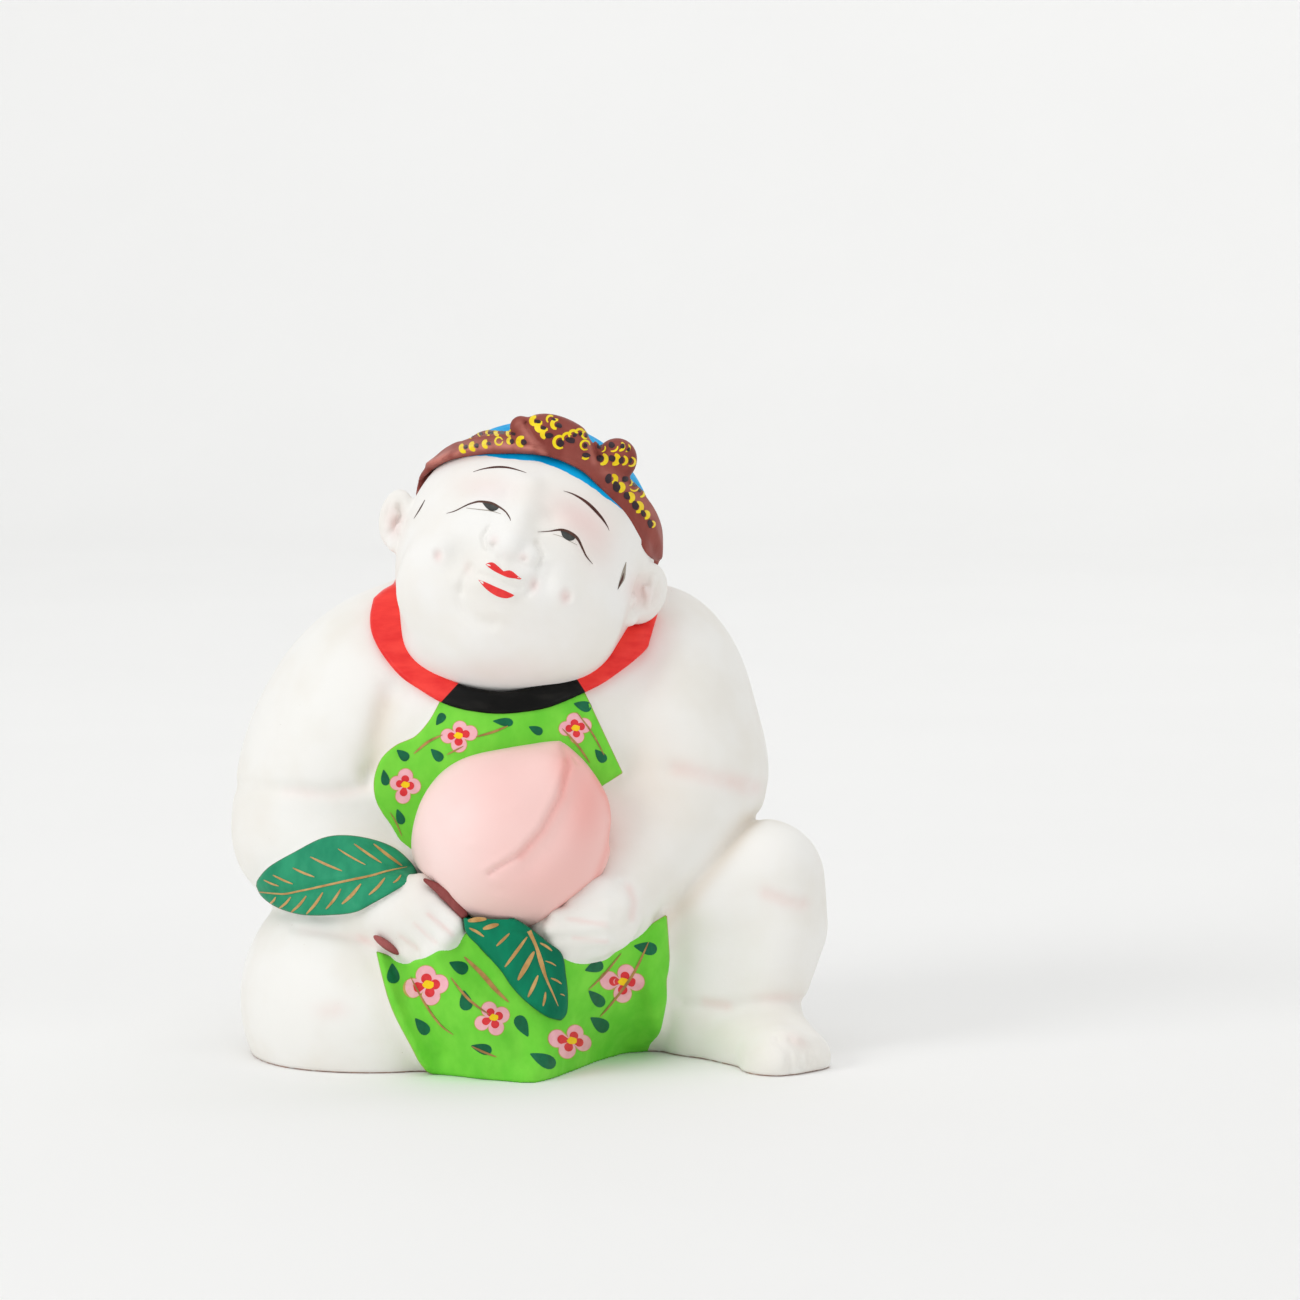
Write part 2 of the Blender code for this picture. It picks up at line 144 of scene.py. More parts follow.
def crease(a, b, width, *line):
    """1 on the line, fading to 0 over about its width (mm)."""
    return np.exp(-(run_distance(a, b, *line) / width) ** 2)


def mound(a, b, u, v, ru, rv, tilt=0.0):
    """A soft round hill in the elevation, radii in its units, tilt clockwise."""
    ca, cb = front(u, v)
    x, z = a - ca, cb - b
    c, s = math.cos(math.radians(tilt)), math.sin(math.radians(tilt))
    e = ((x * c + z * s) / (ru * UNIT)) ** 2 + ((z * c - x * s) / (rv * UNIT)) ** 2
    return np.exp(-np.minimum(e, 40))


class Outline:
    """Distance to a closed curve of the front elevation, negative inside. A corner ends in 0."""

    def __init__(self, *corners, per=8, step=0.4, pad=12.0):
        q = [np.array(front(c[0], c[1])) for c in corners]
        hard = [len(c) > 2 for c in corners]
        ring = []
        for i in range(len(q)):
            p0, p1, p2, p3 = q[i - 1], q[i], q[(i + 1) % len(q)], q[(i + 2) % len(q)]
            m1 = (p2 - p1) if hard[i] else (p2 - p0) / 2
            m2 = (p2 - p1) if hard[(i + 1) % len(q)] else (p3 - p1) / 2
            for j in range(per):
                t = j / per
                ring.append((2 * t ** 3 - 3 * t * t + 1) * p1 + (t ** 3 - 2 * t * t + t) * m1
                            + (3 * t * t - 2 * t ** 3) * p2 + (t ** 3 - t * t) * m2)
        ring = np.array(ring)
        self.ring = ring
        self.lo = ring.min(0) - pad
        self.step = step
        self.n = np.ceil((ring.max(0) + pad - self.lo) / step).astype(int) + 2
        X, Z = np.meshgrid(self.lo[0] + step * np.arange(self.n[0]), self.lo[1] + step * np.arange(self.n[1]), indexing="ij")
        best = np.full(X.shape, 1e9)
        inside = np.zeros(X.shape, bool)
        for a, b in zip(ring, np.roll(ring, -1, 0)):
            d = b - a
            t = np.clip(((X - a[0]) * d[0] + (Z - a[1]) * d[1]) / max(float(d @ d), 1e-12), 0, 1)
            best = np.minimum(best, (X - a[0] - d[0] * t) ** 2 + (Z - a[1] - d[1] * t) ** 2)
            if abs(d[1]) > 1e-12:
                inside ^= ((a[1] > Z) != (b[1] > Z)) & (X < a[0] + (Z - a[1]) * d[0] / d[1])
        self.field = np.where(inside, -1, 1) * np.sqrt(best)

    def __call__(self, a, b):
        fx = np.clip((a - self.lo[0]) / self.step, 0, self.n[0] - 1.001)
        fz = np.clip((b - self.lo[1]) / self.step, 0, self.n[1] - 1.001)
        ix, iz = fx.astype(int), fz.astype(int)
        tx, tz = fx - ix, fz - iz
        f = self.field
        near = ((f[ix, iz] * (1 - tx) + f[ix + 1, iz] * tx) * (1 - tz)
                + (f[ix, iz + 1] * (1 - tx) + f[ix + 1, iz + 1] * tx) * tz)
        hi = self.lo + (self.n - 1) * self.step
        return near + np.hypot(np.maximum(np.maximum(self.lo[0] - a, a - hi[0]), 0),
                               np.maximum(np.maximum(self.lo[1] - b, b - hi[1]), 0))


class Drape:
    """A smooth cloth surface: its depth over the front elevation, through a few known depths (u, v, y)."""

    def __init__(self, *known):
        self.c = np.array([front(k[0], k[1]) for k in known])
        n = len(known)
        r = np.linalg.norm(self.c[:, None] - self.c[None], axis=2)
        m = np.zeros((n + 3, n + 3))
        m[:n, :n] = r * r * np.log(r + 1e-9)
        m[:n, n] = m[n, :n] = 1
        m[:n, n + 1:] = self.c
        m[n + 1:, :n] = self.c.T
        self.w = np.linalg.solve(m, np.array([k[2] for k in known] + [0.0, 0.0, 0.0]))

    def __call__(self, a, b):
        y = self.w[-3] + self.w[-2] * a + self.w[-1] * b
        for (ca, cb), w in zip(self.c, self.w[:-3]):
            r2 = (a - ca) ** 2 + (b - cb) ** 2 + 1e-12
            y = y + w * 0.5 * r2 * np.log(r2)
        return y


# ------------------------------------------------------------------ outlines of what is painted in relief
BIB = Outline((441, 698, 0), (430, 719), (415, 736), (396, 745), (381, 759), (374, 779), (375, 798), (382, 813), (392, 828),
              (406, 858), (420, 880, 0), (520, 900, 0), (600, 850, 0), (598, 789, 0), (623, 773, 0), (606, 737), (585, 692, 0), (510, 690))
SKIRT = Outline((376, 951, 0), (382, 977), (392, 1010), (411, 1047), (421, 1065), (434, 1075), (472, 1081), (520, 1100, 0), (560, 1100, 0),
                (600, 1075), (654, 1058, 0), (664, 1031), (668, 1006), (667, 981), (670, 963), (667, 914, 0), (641, 930), (615, 946),
                (594, 953), (564, 957), (520, 940), (480, 925, 0), (462, 935), (446, 944), (427, 956), (415, 959), (400, 958))
LEAF_1 = Outline((417, 871, 0), (411, 862), (395, 848), (372, 839), (345, 835), (322, 838), (296, 851), (270, 866), (258, 879), (256, 886, 0),
                 (262, 897), (278, 908), (303, 915), (335, 915), (356, 912), (372, 904), (395, 891), (416, 878))
LEAF_2 = Outline((463, 918, 0), (480, 913), (497, 913), (516, 919), (533, 930), (548, 942), (562, 954), (566, 975), (568, 995),
                 (567, 1013), (561, 1021, 0), (545, 1016), (525, 1001), (511, 986), (500, 970), (480, 948), (466, 933))
PEACH = Outline((561.5, 740.5, 0), (573, 750), (586, 763), (599, 781), (608, 799), (611, 818), (609, 842), (610, 853), (603, 872), (590, 884),
                (570, 899), (555, 911), (537, 925), (512, 928), (470, 918), (440, 886), (418, 868), (411, 850), (414, 822), (424, 795), (443, 771),
                (470, 756), (512, 747), (540, 742))
BAND_EDGE = Outline((330, 560, 0), (395, 506), (417, 485), (430, 472), (450, 460.5), (480, 455), (498, 454), (526, 454), (550, 457), (580, 470),
                    (598, 486), (616, 506), (630, 525), (643, 551), (652, 560), (661, 561), (690, 570, 0), (730, 500, 0), (662, 500, 0), (648, 497),
                    (640, 489), (630, 478), (600, 455), (560, 436), (522, 427.5), (508, 430), (495, 429.6), (481, 428, 0), (466, 424), (440, 420, 0), (330, 420, 0))
CAP_EDGE = Outline((330, 560, 0), (395, 506), (417, 485), (430, 472), (450, 460.5), (480, 455.7), (510, 459), (540, 462), (570, 474),
                   (590, 486), (607, 498.5), (620, 507.5), (634.5, 523.5), (647, 549), (654.5, 557.5), (662, 559), (690, 568, 0), (730, 330, 0), (330, 330, 0))
COLLAR = Outline((396, 583, 0), (384, 589), (373.6, 598, 0), (370, 616), (372, 634), (382, 654), (400, 676), (420, 690), (440, 702), (458, 708.5), (476, 712), (496.5, 714),
                 (517, 713), (543.5, 709), (564, 702), (586, 692), (605, 682), (630, 664), (646.5, 649), (650, 640), (658.5, 611, 0), (640, 600, 0), (580, 640), (520, 660), (460, 645), (425, 610))
CHIN = Outline((428, 640), (432, 662), (440, 673), (458, 683), (480, 689), (503, 691), (527, 687.5), (550, 680.5), (573, 671), (595, 656), (600, 645), (560, 610), (470, 605))
SKIRT_Y = Drape((376, 951, -52), (392, 1010, -55.5), (421, 1065, -53.5), (434, 1075, -52), (500, 1081, -61.5), (535, 1083, -64.5), (574, 1071, -45),
                (600, 1061, -29), (625, 1053, -16), (654, 1050, -10), (667, 1000, -22), (667, 914, -33.5), (610, 960, -44), (640, 1000, -27),
                (560, 970, -55), (500, 950, -57), (440, 955, -56), (480, 1010, -62), (430, 1000, -58), (545, 1030, -57), (600, 1015, -41))
TILT = (0.275, 0.570, 0.774)


# ------------------------------------------------------------------ the figure
def head_base(p):
    skull = at(534, 541, -6)
    h = egg(p, skull, (37.6, 40, 37.2))
    h = join(h, egg(p, at(513, 580, -15), (35.8, 36.5, 34.8)), 12)
    h = join(h, egg(p, at(447, 588, -36.2), (15, 8, 16), turn(0, 20, 0)), 8)
    h = join(h, egg(p, at(571, 615, -35.2), (15, 8, 15), turn(0, 20, 0)), 8)
    h = join(h, egg(p, at(500, 578, -45.7), (9.8, 7.4, 7.4), turn(0, 22, 0)), 3)
    h = join(h, egg(p, at(482, 627, -41.2), (9, 6, 7), turn(0, 22, 0)), 5)
    h = join(h, egg(p, at(506, 640, -24), (30, 19, 16.5)), 10)
    return h, skull


def face_relief(a, b):
    """Height of the moulded face over its plain form, mm."""
    r = -1.2 * mound(a, b, 507, 497, 11, 9, 20) - 1.4 * mound(a, b, 551, 517, 12, 9, 25)
    r += 0.9 * mound(a, b, 480, 506, 20, 8, 8) + 0.9 * mound(a, b, 571, 542, 20, 8, 30)
    r += -0.5 * mound(a, b, 480, 486, 26, 8, 6) - 0.5 * mound(a, b, 580, 512, 26, 9, 32)
    r += -2.6 * mound(a, b, 459, 555, 16, 18) - 1.3 * mound(a, b, 546, 578, 9, 14, 10)
    r += -1.5 * mound(a, b, 438, 555, 4.6, 5.6) + 0.7 * mound(a, b, 437, 555, 10, 11)
    r += -1.5 * mound(a, b, 567, 596, 5, 6) + 0.7 * mound(a, b, 567, 596, 11, 12)
    r += -1.2 * mound(a, b, 533, 584, 4.5, 7) - 1.0 * mound(a, b, 472, 572, 4, 8)
    r += -0.9 * mound(a, b, 493.5, 544.5, 2.4, 2.0) - 0.9 * mound(a, b, 524.5, 559, 2.9, 2.3)
    r += -0.35 * crease(a, b, 1.0, (499, 559), (501, 566))
    r += 0.8 * crease(a, b, 1.5, (488, 565), (497, 568), (506, 574), (519, 578))
    r += 0.8 * crease(a, b, 1.9, (483, 583), (497, 591), (512, 595))
    r += -0.7 * crease(a, b, 0.9, (480, 574), (496, 579), (508, 585), (521, 588))
    r += -0.85 * crease(a, b, 2.0, (459, 590), (461, 600), (465, 609), (472, 617), (481, 622), (492, 624)) + 0.5 * mound(a, b, 500, 612, 16, 7, 25)
    r += -0.9 * crease(a, b, 0.8, (489, 528), (483, 538), (486, 548)) - 1.0 * crease(a, b, 0.9, (536, 543), (542.5, 555), (537, 565))
    r += -0.8 * crease(a, b, 1.2, (470, 566), (463, 580), (462, 592)) - 0.8 * crease(a, b, 1.3, (540, 566), (536, 580), (528, 592))
    r += -0.4 * crease(a, b, 0.7, (447, 514), (467, 506), (480, 502.5), (491, 504), (505, 512), (510, 520))
    r += -0.4 * crease(a, b, 0.7, (540, 533), (556, 531), (569, 533), (579, 542.5), (592, 564))
    return r


def head_form(p):
    x, y, z = p
    a, b = seen(p)
    h, skull = head_base(p)
    h = join(h, limb(p, at(529, 490, -40.3), at(512, 540, -49.1), 2.5, 3.8), 5)
    h = join(h, ball(p, at(509, 545, -50.2), 3.5), 3)
    h = join(h, egg(p, at(494, 540.5, -49.0), (3.1, 2.9, 2.8)), 1.1)
    h = join(h, egg(p, at(527.5, 555.5, -49.6), (4.0, 3.1, 3.4), turn(0, 25, 0)), 1.2)
    h = h - face_relief(a, b) * smooth((-24 - y) / 8)
    for c, radii, tilt, side in ((at(642, 593, -20), (9.0, 3.8, 10.0), turn(0, 18, 36), 1.0), (at(397, 519, -12), (5.9, 3.6, 9.3), turn(0, 10, -26), -1.0)):
        w, t = radii[0], radii[2]

        def spot(fx, fy, fz):
            return c + tilt @ np.array([side * fx * w, fy, fz * t])
        h = join(h, egg(p, c, radii, tilt), 1.8)
        h = meet(h, -egg(p, spot(-0.12, -4.6, 0.1), (w * 0.7, 3.9, t * 0.7), tilt), 1.4)
        h = join(h, limb(p, spot(0.12, -2.0, 0.5), spot(0.2, -2.0, -0.3), 1.0, 1.2), 1.2)
        h = join(h, limb(p, spot(-0.1, -1.9, 0.2), spot(0.15, -2.0, -0.05), 0.7, 0.9), 1.2)
        h = join(h, ball(p, spot(-0.62, -3.0, -0.25), 1.9), 1.8)
        h = join(h, ball(p, spot(-0.3, -1.8, -0.84), 2.2), 1.8)
    return h, skull


def chest_form(p):
    torso = join(egg(p, at(512, 800, 13), (60, 49, 76)), egg(p, at(508, 725, -3), (47, 37, 36)), 10)
    torso = join(torso, egg(p, (-4, 12, 134), (38, 31, 22)), 8)
    chest = join(torso, egg(p, at(334, 752, 4), (28, 34, 49.5), turn(0, 20, 0)), 24)
    return join(chest, egg(p, at(685, 722, 6), (22.6, 33, 40.5), turn(0, -8, 0)), 24)


def arm_left(p):
    return limb(p, at(294, 839, -8), at(392, 915, -38), 15.8, 12)


def leg_left(p):
    return join(egg(p, at(357.5, 997, -8.5), (36.5, 43.5, 39.6)), limb(p, at(400, 1010, -28), at(520, 1005, -22), 23, 18), 12)


def body_form(p, chest=None):
    x, y, z = p
    a, b = seen(p)
    if chest is None:
        chest = chest_form(p)
    arm_r = limb(p, at(700, 778, -3), at(615, 900, -36), 17.4, 11.5)
    body = join(join(chest, arm_r, 16), arm_left(p), 12)
    shin = np.minimum(limb(p, at(765, 879, -12), at(770, 925, -13), 18.2, 18.0), limb(p, at(770, 925, -13), at(759, 985, -15), 18.0, 15.0))
    leg_r = join(shin, limb(p, at(755, 885, -6), at(640, 940, 25), 16, 26), 10)
    leg_r = join(leg_r, limb(p, at(712, 905, -14.5), at(709, 998, -9), 16.0, 16.0), 8)
    leg_r = join(leg_r, egg(p, at(706, 985, -4), (15, 22, 27)), 10)
    leg_r = join(leg_r, egg(p, at(685, 940, -16.5), (8, 9, 18)), 6)
    leg_r = join(leg_r, egg(p, at(690, 990, -5.5), (12, 18.5, 24)), 6)
    foot = join(limb(p, at(706, 1032, -9), at(783, 1055, -45), 12.0, 8.4),
                limb(p, at(745, 1006, -10), at(807, 1053, -38.5), 12.5, 6.3), 7)
    foot = join(foot, limb(p, at(768, 1065, -45), at(806, 1062, -38), 7.5, 6.0), 6)
    foot = join(foot, egg(p, at(775, 1060, -47.6), (6.6, 8, 5.4), turn(0, 0, 20)), 3)
    for u, v, deep, r in ((795, 1060, -48.0, 3.1), (804.5, 1058.5, -45.8, 2.7), (812, 1057, -43.2, 2.4), (819, 1056, -40.4, 2.1)):
        foot = join(foot, egg(p, at(u, v, deep), (r, r * 1.7, r), turn(0, 0, 25)), 2.0)
    gap = crease(a, b, 1.2, (777, 1040), (790, 1052), (789, 1070)) + 0.9 * crease(a, b, 1.05, (790, 1040), (800, 1052), (800, 1067))
    gap += 0.8 * crease(a, b, 0.9, (802, 1044), (808.6, 1052), (809, 1065)) + 0.5 * crease(a, b, 0.9, (811, 1046), (816, 1053), (817, 1062))
    foot = foot + 0.95 * gap * smooth((-20 - y) / 6)
    leg_r = join(leg_r, foot, 5)
    body = join(join(body, leg_left(p), 5), leg_r, 10.5 - 7.5 * smooth((a - 50) / 18))
    body = join(body, egg(p, at(520, 960, 22), (72, 44, 45)), 10)
    body = join(body, egg(p, at(662, 904, -20), (9, 6, 8)), 6)
    body = join(body, egg(p, at(421, 883, -44), (4, 4, 3)), 4)
    # left hand and its fingers, closed over the stem
    hand = egg(p, at(409, 921, -45), (13.2, 9.5, 10.2), turn(0, 34, 0))
    hand = join(hand, egg(p, at(429, 929, -46), (12.0, 8.0, 9.5), turn(0, 38, 0)), 3)
    hand = join(hand, egg(p, at(453, 930, -44.5), (7.5, 7.0, 7.5)), 2)
    hand = join(hand, egg(p, at(425, 906, -47.3), (8.0, 6.4, 6.6), turn(0, 40, 0)), 3.5)
    for (u0, v0), (u1, v1), r, deep in (((434, 903), (455, 923), 2.7, -53.0), ((419, 911), (444, 936), 3.0, -53.6),
                                        ((403, 917), (427, 946.5), 3.0, -52.8), ((392, 930), (409, 950), 2.8, -50.8)):
        hand = join(hand, limb(p, at(u0, v0, deep + 2.2), at(u1, v1, deep - 0.2), r, r - 0.2), 1.8)
    body = join(body, hand, 3.5)
    # right hand, under the fruit
    hand = egg(p, at(602, 917, -45), (12, 8.5, 11.5), turn(0, -20, 0))
    hand = join(hand, egg(p, at(572, 930, -45.5), (13, 8.5, 9.0), turn(0, -12, 0)), 3)
    hand = join(hand, egg(p, at(552, 927, -45.5), (7, 6.5, 6)), 3)
    hand = join(hand, egg(p, at(588, 901, -46.5), (9, 6, 6), turn(0, -40, 0)), 3)
    for (u0, v0), (u1, v1), r, deep in (((604, 896), (574, 904), 2.9, -50.0), ((605, 910), (557, 917), 2.9, -52.3),
                                        ((604, 925), (552, 929), 2.9, -53.2), ((603, 939), (558, 942), 2.8, -52.3), ((600, 950), (570, 952), 2.0, -51.0)):
        hand = join(hand, limb(p, at(u0, v0, deep + 1.4), at(u1, v1, deep), r, r - 0.3), 1.9)
    body = join(body, hand, 3.5)
    # creases in the plump flesh
    facing = smooth((12 - y) / 14)
    cut = 2.4 * crease(a, b, 4.6, (392, 694), (382, 725), (372, 768)) + 1.3 * mound(a, b, 366, 778, 8, 9)
    cut += 0.9 * crease(a, b, 2.4, (236, 786), (285, 789), (330, 792), (366, 786))
    cut += 1.6 * crease(a, b, 7.0, (664, 628), (648, 668), (634, 712), (628, 760))
    cut += 0.55 * crease(a, b, 2.4, (672, 768), (712, 776), (758, 786))
    cut += 0.35 * crease(a, b, 1.2, (762, 891), (782, 900), (806, 905))
    cut += 1.0 * crease(a, b, 2.2, (684, 1004), (728, 1007), (766, 1001), (803, 1002))
    cut += 0.6 * crease(a, b, 1.6, (296, 929), (335, 935), (366, 939))
    cut += 0.8 * crease(a, b, 1.5, (622, 884), (633, 896), (634, 912), (626, 926))
    cut += 0.8 * crease(a, b, 2.0, (757, 817), (722, 850), (690, 882), (672, 908))
    return body + cut * facing


def grown(base, *neighbours, over=0.35, k=1.6):
    """The clay swells a little to meet each painted relief."""
    for n in neighbours:
        base = join(base, n + over, k)
    return base


def bib_form(p, chest):
    a, b = seen(p)
    r = chest - 1.3 - 0.35 * crease(a, b, 2.2, (430, 715), (400, 742), (380, 768)) - 0.3 * crease(a, b, 1.6, (590, 700), (606, 737), (620, 768))
    return np.maximum(np.maximum(meet(r, BIB(a, b), 1.2), p[1]), np.minimum(0.8 - CHIN(a, b), -p[1] - 4))


def skirt_depth(a, b):
    y = SKIRT_Y(a, b)
    y = y - 2.2 * crease(a, b, 2.4, (379, 955), (391, 995), (408, 1035), (424, 1068))
    y = y + 2.8 * crease(a, b, 4.2, (397, 962), (412, 1005), (438, 1052))
    y = y - 2.8 * crease(a, b, 5.0, (432, 962), (464, 1012), (484, 1062))
    y = y + 3.0 * crease(a, b, 4.6, (462, 948), (502, 1000), (524, 1052))
    y = y - 2.0 * crease(a, b, 5.0, (560, 975), (556, 1020), (548, 1060))
    y = y - 2.2 * crease(a, b, 3.4, (657, 925), (652, 970), (640, 1044))
    y = y + 2.6 * crease(a, b, 4.4, (622, 945), (612, 1000), (592, 1048))
    y = y - 6.5 * mound(a, b, 659, 1006, 14, 28) - 5.0 * mound(a, b, 659, 1032, 13, 17)
    return y


def skirt_form(p, depth):
    a, b = seen(p)
    return np.maximum(meet(np.maximum(depth - p[1], p[1] - 12) * 0.8, SKIRT(a, b), 1.8), -p[2])


def peach_form(p):
    a, b = seen(p)
    fruit = join(egg(p, at(512, 835, -32), (32, 34, 31)), limb(p, at(556, 786, -44), at(562, 743, -36), 11, 3.5), 8)
    fruit = join(fruit, egg(p, at(578, 824, -30), (14, 18, 24)), 8)
    line = ((562, 743), (569, 766), (559, 797), (541, 831), (519, 855), (490, 873))
    fruit = fruit + 1.0 * crease(a, b, 0.9, *line) - 0.35 * crease(a, b, 1.4, *[(u - 6, v - 3) for u, v in line[1:]])
    fruit = fruit + 1.2 * crease(a, b, 4.5, *[(u + 12, v + 6) for u, v in line[:5]])
    fruit = fruit + 0.5 * crease(a, b, 0.9, (566, 746), (577, 763))
    fruit = fruit + 0.25 * mound(a, b, 450, 800, 6, 4) - 0.2 * mound(a, b, 512, 808, 5, 4) - 0.2 * mound(a, b, 470, 845, 8, 4) + 0.2 * mound(a, b, 500, 890, 12, 5)
    return meet(fruit, PEACH(a, b), 1.6)


def leaf_1_form(p, chest):
    a, b = seen(p)
    lap = join(join(chest, arm_left(p), 12), leg_left(p), 16)
    lap = join(lap, egg(p, at(409, 921, -45), (13.2, 9.5, 10.2), turn(0, 34, 0)), 5)
    edge = LEAF_1(a, b)
    lift = 1.7 + 0.9 * smooth(-edge / 6) - 0.7 * crease(a, b, 1.3, (262, 892), (300, 891), (346, 881), (388, 871), (410, 866))
    for s in ((300, 914, 279, 893), (330, 913, 309, 889), (360, 907, 336, 884), (388, 893, 368, 877), (300, 855, 318, 884), (335, 841, 355, 876), (372, 840, 392, 868)):
        lift = lift - 0.25 * crease(a, b, 1.0, (s[0], s[1]), (s[2], s[3]))
    return np.maximum(meet(lap - lift, edge, 1.3), p[1] - 2)


def leaf_2_form(p, depth):
    a, b = seen(p)
    edge = LEAF_2(a, b)
    lift = 2.3 + 0.9 * smooth(-edge / 5) - 0.7 * crease(a, b, 1.2, (478, 918), (529, 932), (543, 967), (558, 1006))
    lift = lift + 0.5 * crease(a, b, 2.0, (476, 925), (500, 945), (512, 975), (535, 1005))
    return meet(np.maximum(depth - lift - p[1], p[1] - depth - 4) * 0.8, edge, 1.4)


def collar_form(p, chest):
    x, y, z = p
    a, b = seen(p)
    plan = (np.sqrt(((x + 2) / 40.5) ** 2 + ((y - 8) / 35) ** 2) - 1) * 35
    ring = join(np.maximum(COLLAR(a, b), y - 9), np.maximum(np.maximum(plan, -plan - 9), -y), 2)
    ring = np.maximum(ring, np.minimum(-CHIN(a, b), -y - 4))
    return np.maximum(meet(chest - 2.3, ring, 1.3), -chest - 4)


def lift_of(p, skull):
    return (p[0] - skull[0]) * TILT[0] + (p[1] - skull[1]) * TILT[1] + (p[2] - skull[2]) * TILT[2]


def band_form(p, head, skull):
    x, y, z = p
    a, b = seen(p)
    lift = lift_of(p, skull)
    back = smooth((y + 4) / 16)
    low = BAND_EDGE(a, b) * (1 - back) + np.maximum(3.2 - lift, lift - 15.6) * back
    cloth = head - 0.5 - 2.0 * smooth(np.minimum(lift - 2.0, 17.5 - lift) / 5.0)
    front_on = smooth((4 - y) / 8)
    cloth = cloth - front_on * (1.0 * crease(a, b, 1.0, (428, 464), (466, 450), (498, 446), (534, 449), (546, 454))
                                - 0.8 * crease(a, b, 1.0, (432, 469.5), (468, 456), (500, 452), (534, 454.5)))
    cloth = cloth + 0.4 * crease(a, b, 1.0, (462, 441), (490, 438), (515, 436)) * front_on
    cloth = cloth + 0.5 * crease(a, b, 1.3, (560, 462), (590, 474), (615, 500), (640, 540)) * front_on
    band = meet(cloth, low, 1.6)
    knot = join(egg(p, at(562, 442, -26), (13.0, 7.4, 7.2), turn(0, 27, 0)),
                egg(p, at(616, 460, -21.5), (6.4, 7.2, 6.8), turn(0, 27, 0)), 2)
    knot = join(knot, limb(p, at(521, 427, -25), at(541, 452, -29.5), 3.4, 2.2), 1.5)
    knot = join(knot, limb(p, at(588, 470, -27), at(634, 498, -19), 4.2, 3.4), 2.5)
    knot = knot + 1.3 * crease(a, b, 0.9, (589, 431), (593, 446), (599, 462)) + 1.0 * crease(a, b, 0.8, (526, 423), (536, 441), (548, 454))
    knot = knot + 0.9 * crease(a, b, 0.9, (556, 458), (580, 466), (600, 474)) - 0.4 * crease(a, b, 0.9, (552, 424), (570, 433), (588, 448))
    band = join(band, knot, 1.6)
    return np.maximum(band, -head - 1.5)


def stem_form(p):
    top = join(limb(p, at(425, 880, -51.2), at(446, 893, -52.3), 0.6, 2.0), limb(p, at(446, 893, -52.3), at(463, 914, -53.0), 2.0, 1.4), 1.0)
    low = egg(p, at(386.5, 945, -51.8), (4.9, 2.4, 1.3), turn(0, 36, 0))
    return np.minimum(top, low)


def everything(p, names):
    """The distances of the named components at p."""
    out = {}
    need = set(names)
    a, b = seen(p)
    chest = depth = head = skull = None
    if need & {"skin", "bib", "leaf_1", "collar"}:
        chest = chest_form(p)
    if need & {"skin", "skirt", "leaf_2"}:
        depth = skirt_depth(a, b)
    if "band" in need:
        base, skull = head_base(p)
        out["band"] = band_form(p, base, skull)
    if "head" in need:
        out["head"], skull = head_form(p)
    if need & {"bib", "skin"}:
        out["bib"] = bib_form(p, chest)
    if need & {"skirt", "skin"}:
        out["skirt"] = skirt_form(p, depth)
    if "peach" in need:
        out["peach"] = peach_form(p)
    if need & {"leaf_1", "skin"}:
        out["leaf_1"] = leaf_1_form(p, chest)
    if "leaf_2" in need:
        out["leaf_2"] = leaf_2_form(p, depth)
    if "collar" in need:
        out["collar"] = collar_form(p, chest)
    if "stem" in need:
        out["stem"] = stem_form(p)
    if "skin" in need:
        body = body_form(p, chest)
        body = grown(body, out["bib"], out["leaf_1"])
        body = grown(body, out["skirt"], over=1.7, k=7)
        body = np.maximum(body, np.minimum(0.4 - CHIN(a, b), -p[1] - 4))
        out["skin"] = np.maximum(body, -p[2])
    return out


def field_of(name):
    return lambda p: everything(p, [name])[name]


# ------------------------------------------------------------------ meshing
def sample(field, lo, counts, cell, block=12):
    """The field on a grid, worked out in full only near its surface."""
    counts = [int(math.ceil((n - 1) / block)) * block + 1 for n in counts]
    value = np.full(counts, 9.0, np.float32)
    nb = [(n - 1) // block for n in counts]
    centres = [lo[i] + cell * (np.arange(nb[i]) * block + block / 2) for i in range(3)]
    CX, CY, CZ = np.meshgrid(*centres, indexing="ij")
    rough = field((CX, CY, CZ))
    reach = cell * block * 0.87 * 1.35
    offsets = np.arange(block + 1)
    todo = np.argwhere(np.abs(rough) < reach)
    deep = np.argwhere(rough <= -reach)
    for i, j, k in deep:
        value[i * block:(i + 1) * block + 1, j * block:(j + 1) * block + 1, k * block:(k + 1) * block + 1] = -9.0
    for start in range(0, len(todo), 60):
        chunk = todo[start:start + 60]
        X = lo[0] + cell * (chunk[:, 0, None, None, None] * block + offsets[None, :, None, None]) + np.zeros((1, 1, block + 1, block + 1))
        Y = lo[1] + cell * (chunk[:, 1, None, None, None] * block + offsets[None, None, :, None]) + np.zeros((1, block + 1, 1, block + 1))
        Z = lo[2] + cell * (chunk[:, 2, None, None, None] * block + offsets[None, None, None, :]) + np.zeros((1, block + 1, block + 1, 1))
        got = field((X, Y, Z)).astype(np.float32)
        for (i, j, k), g in zip(chunk, got):
            value[i * block:(i + 1) * block + 1, j * block:(j + 1) * block + 1, k * block:(k + 1) * block + 1] = g
    return value


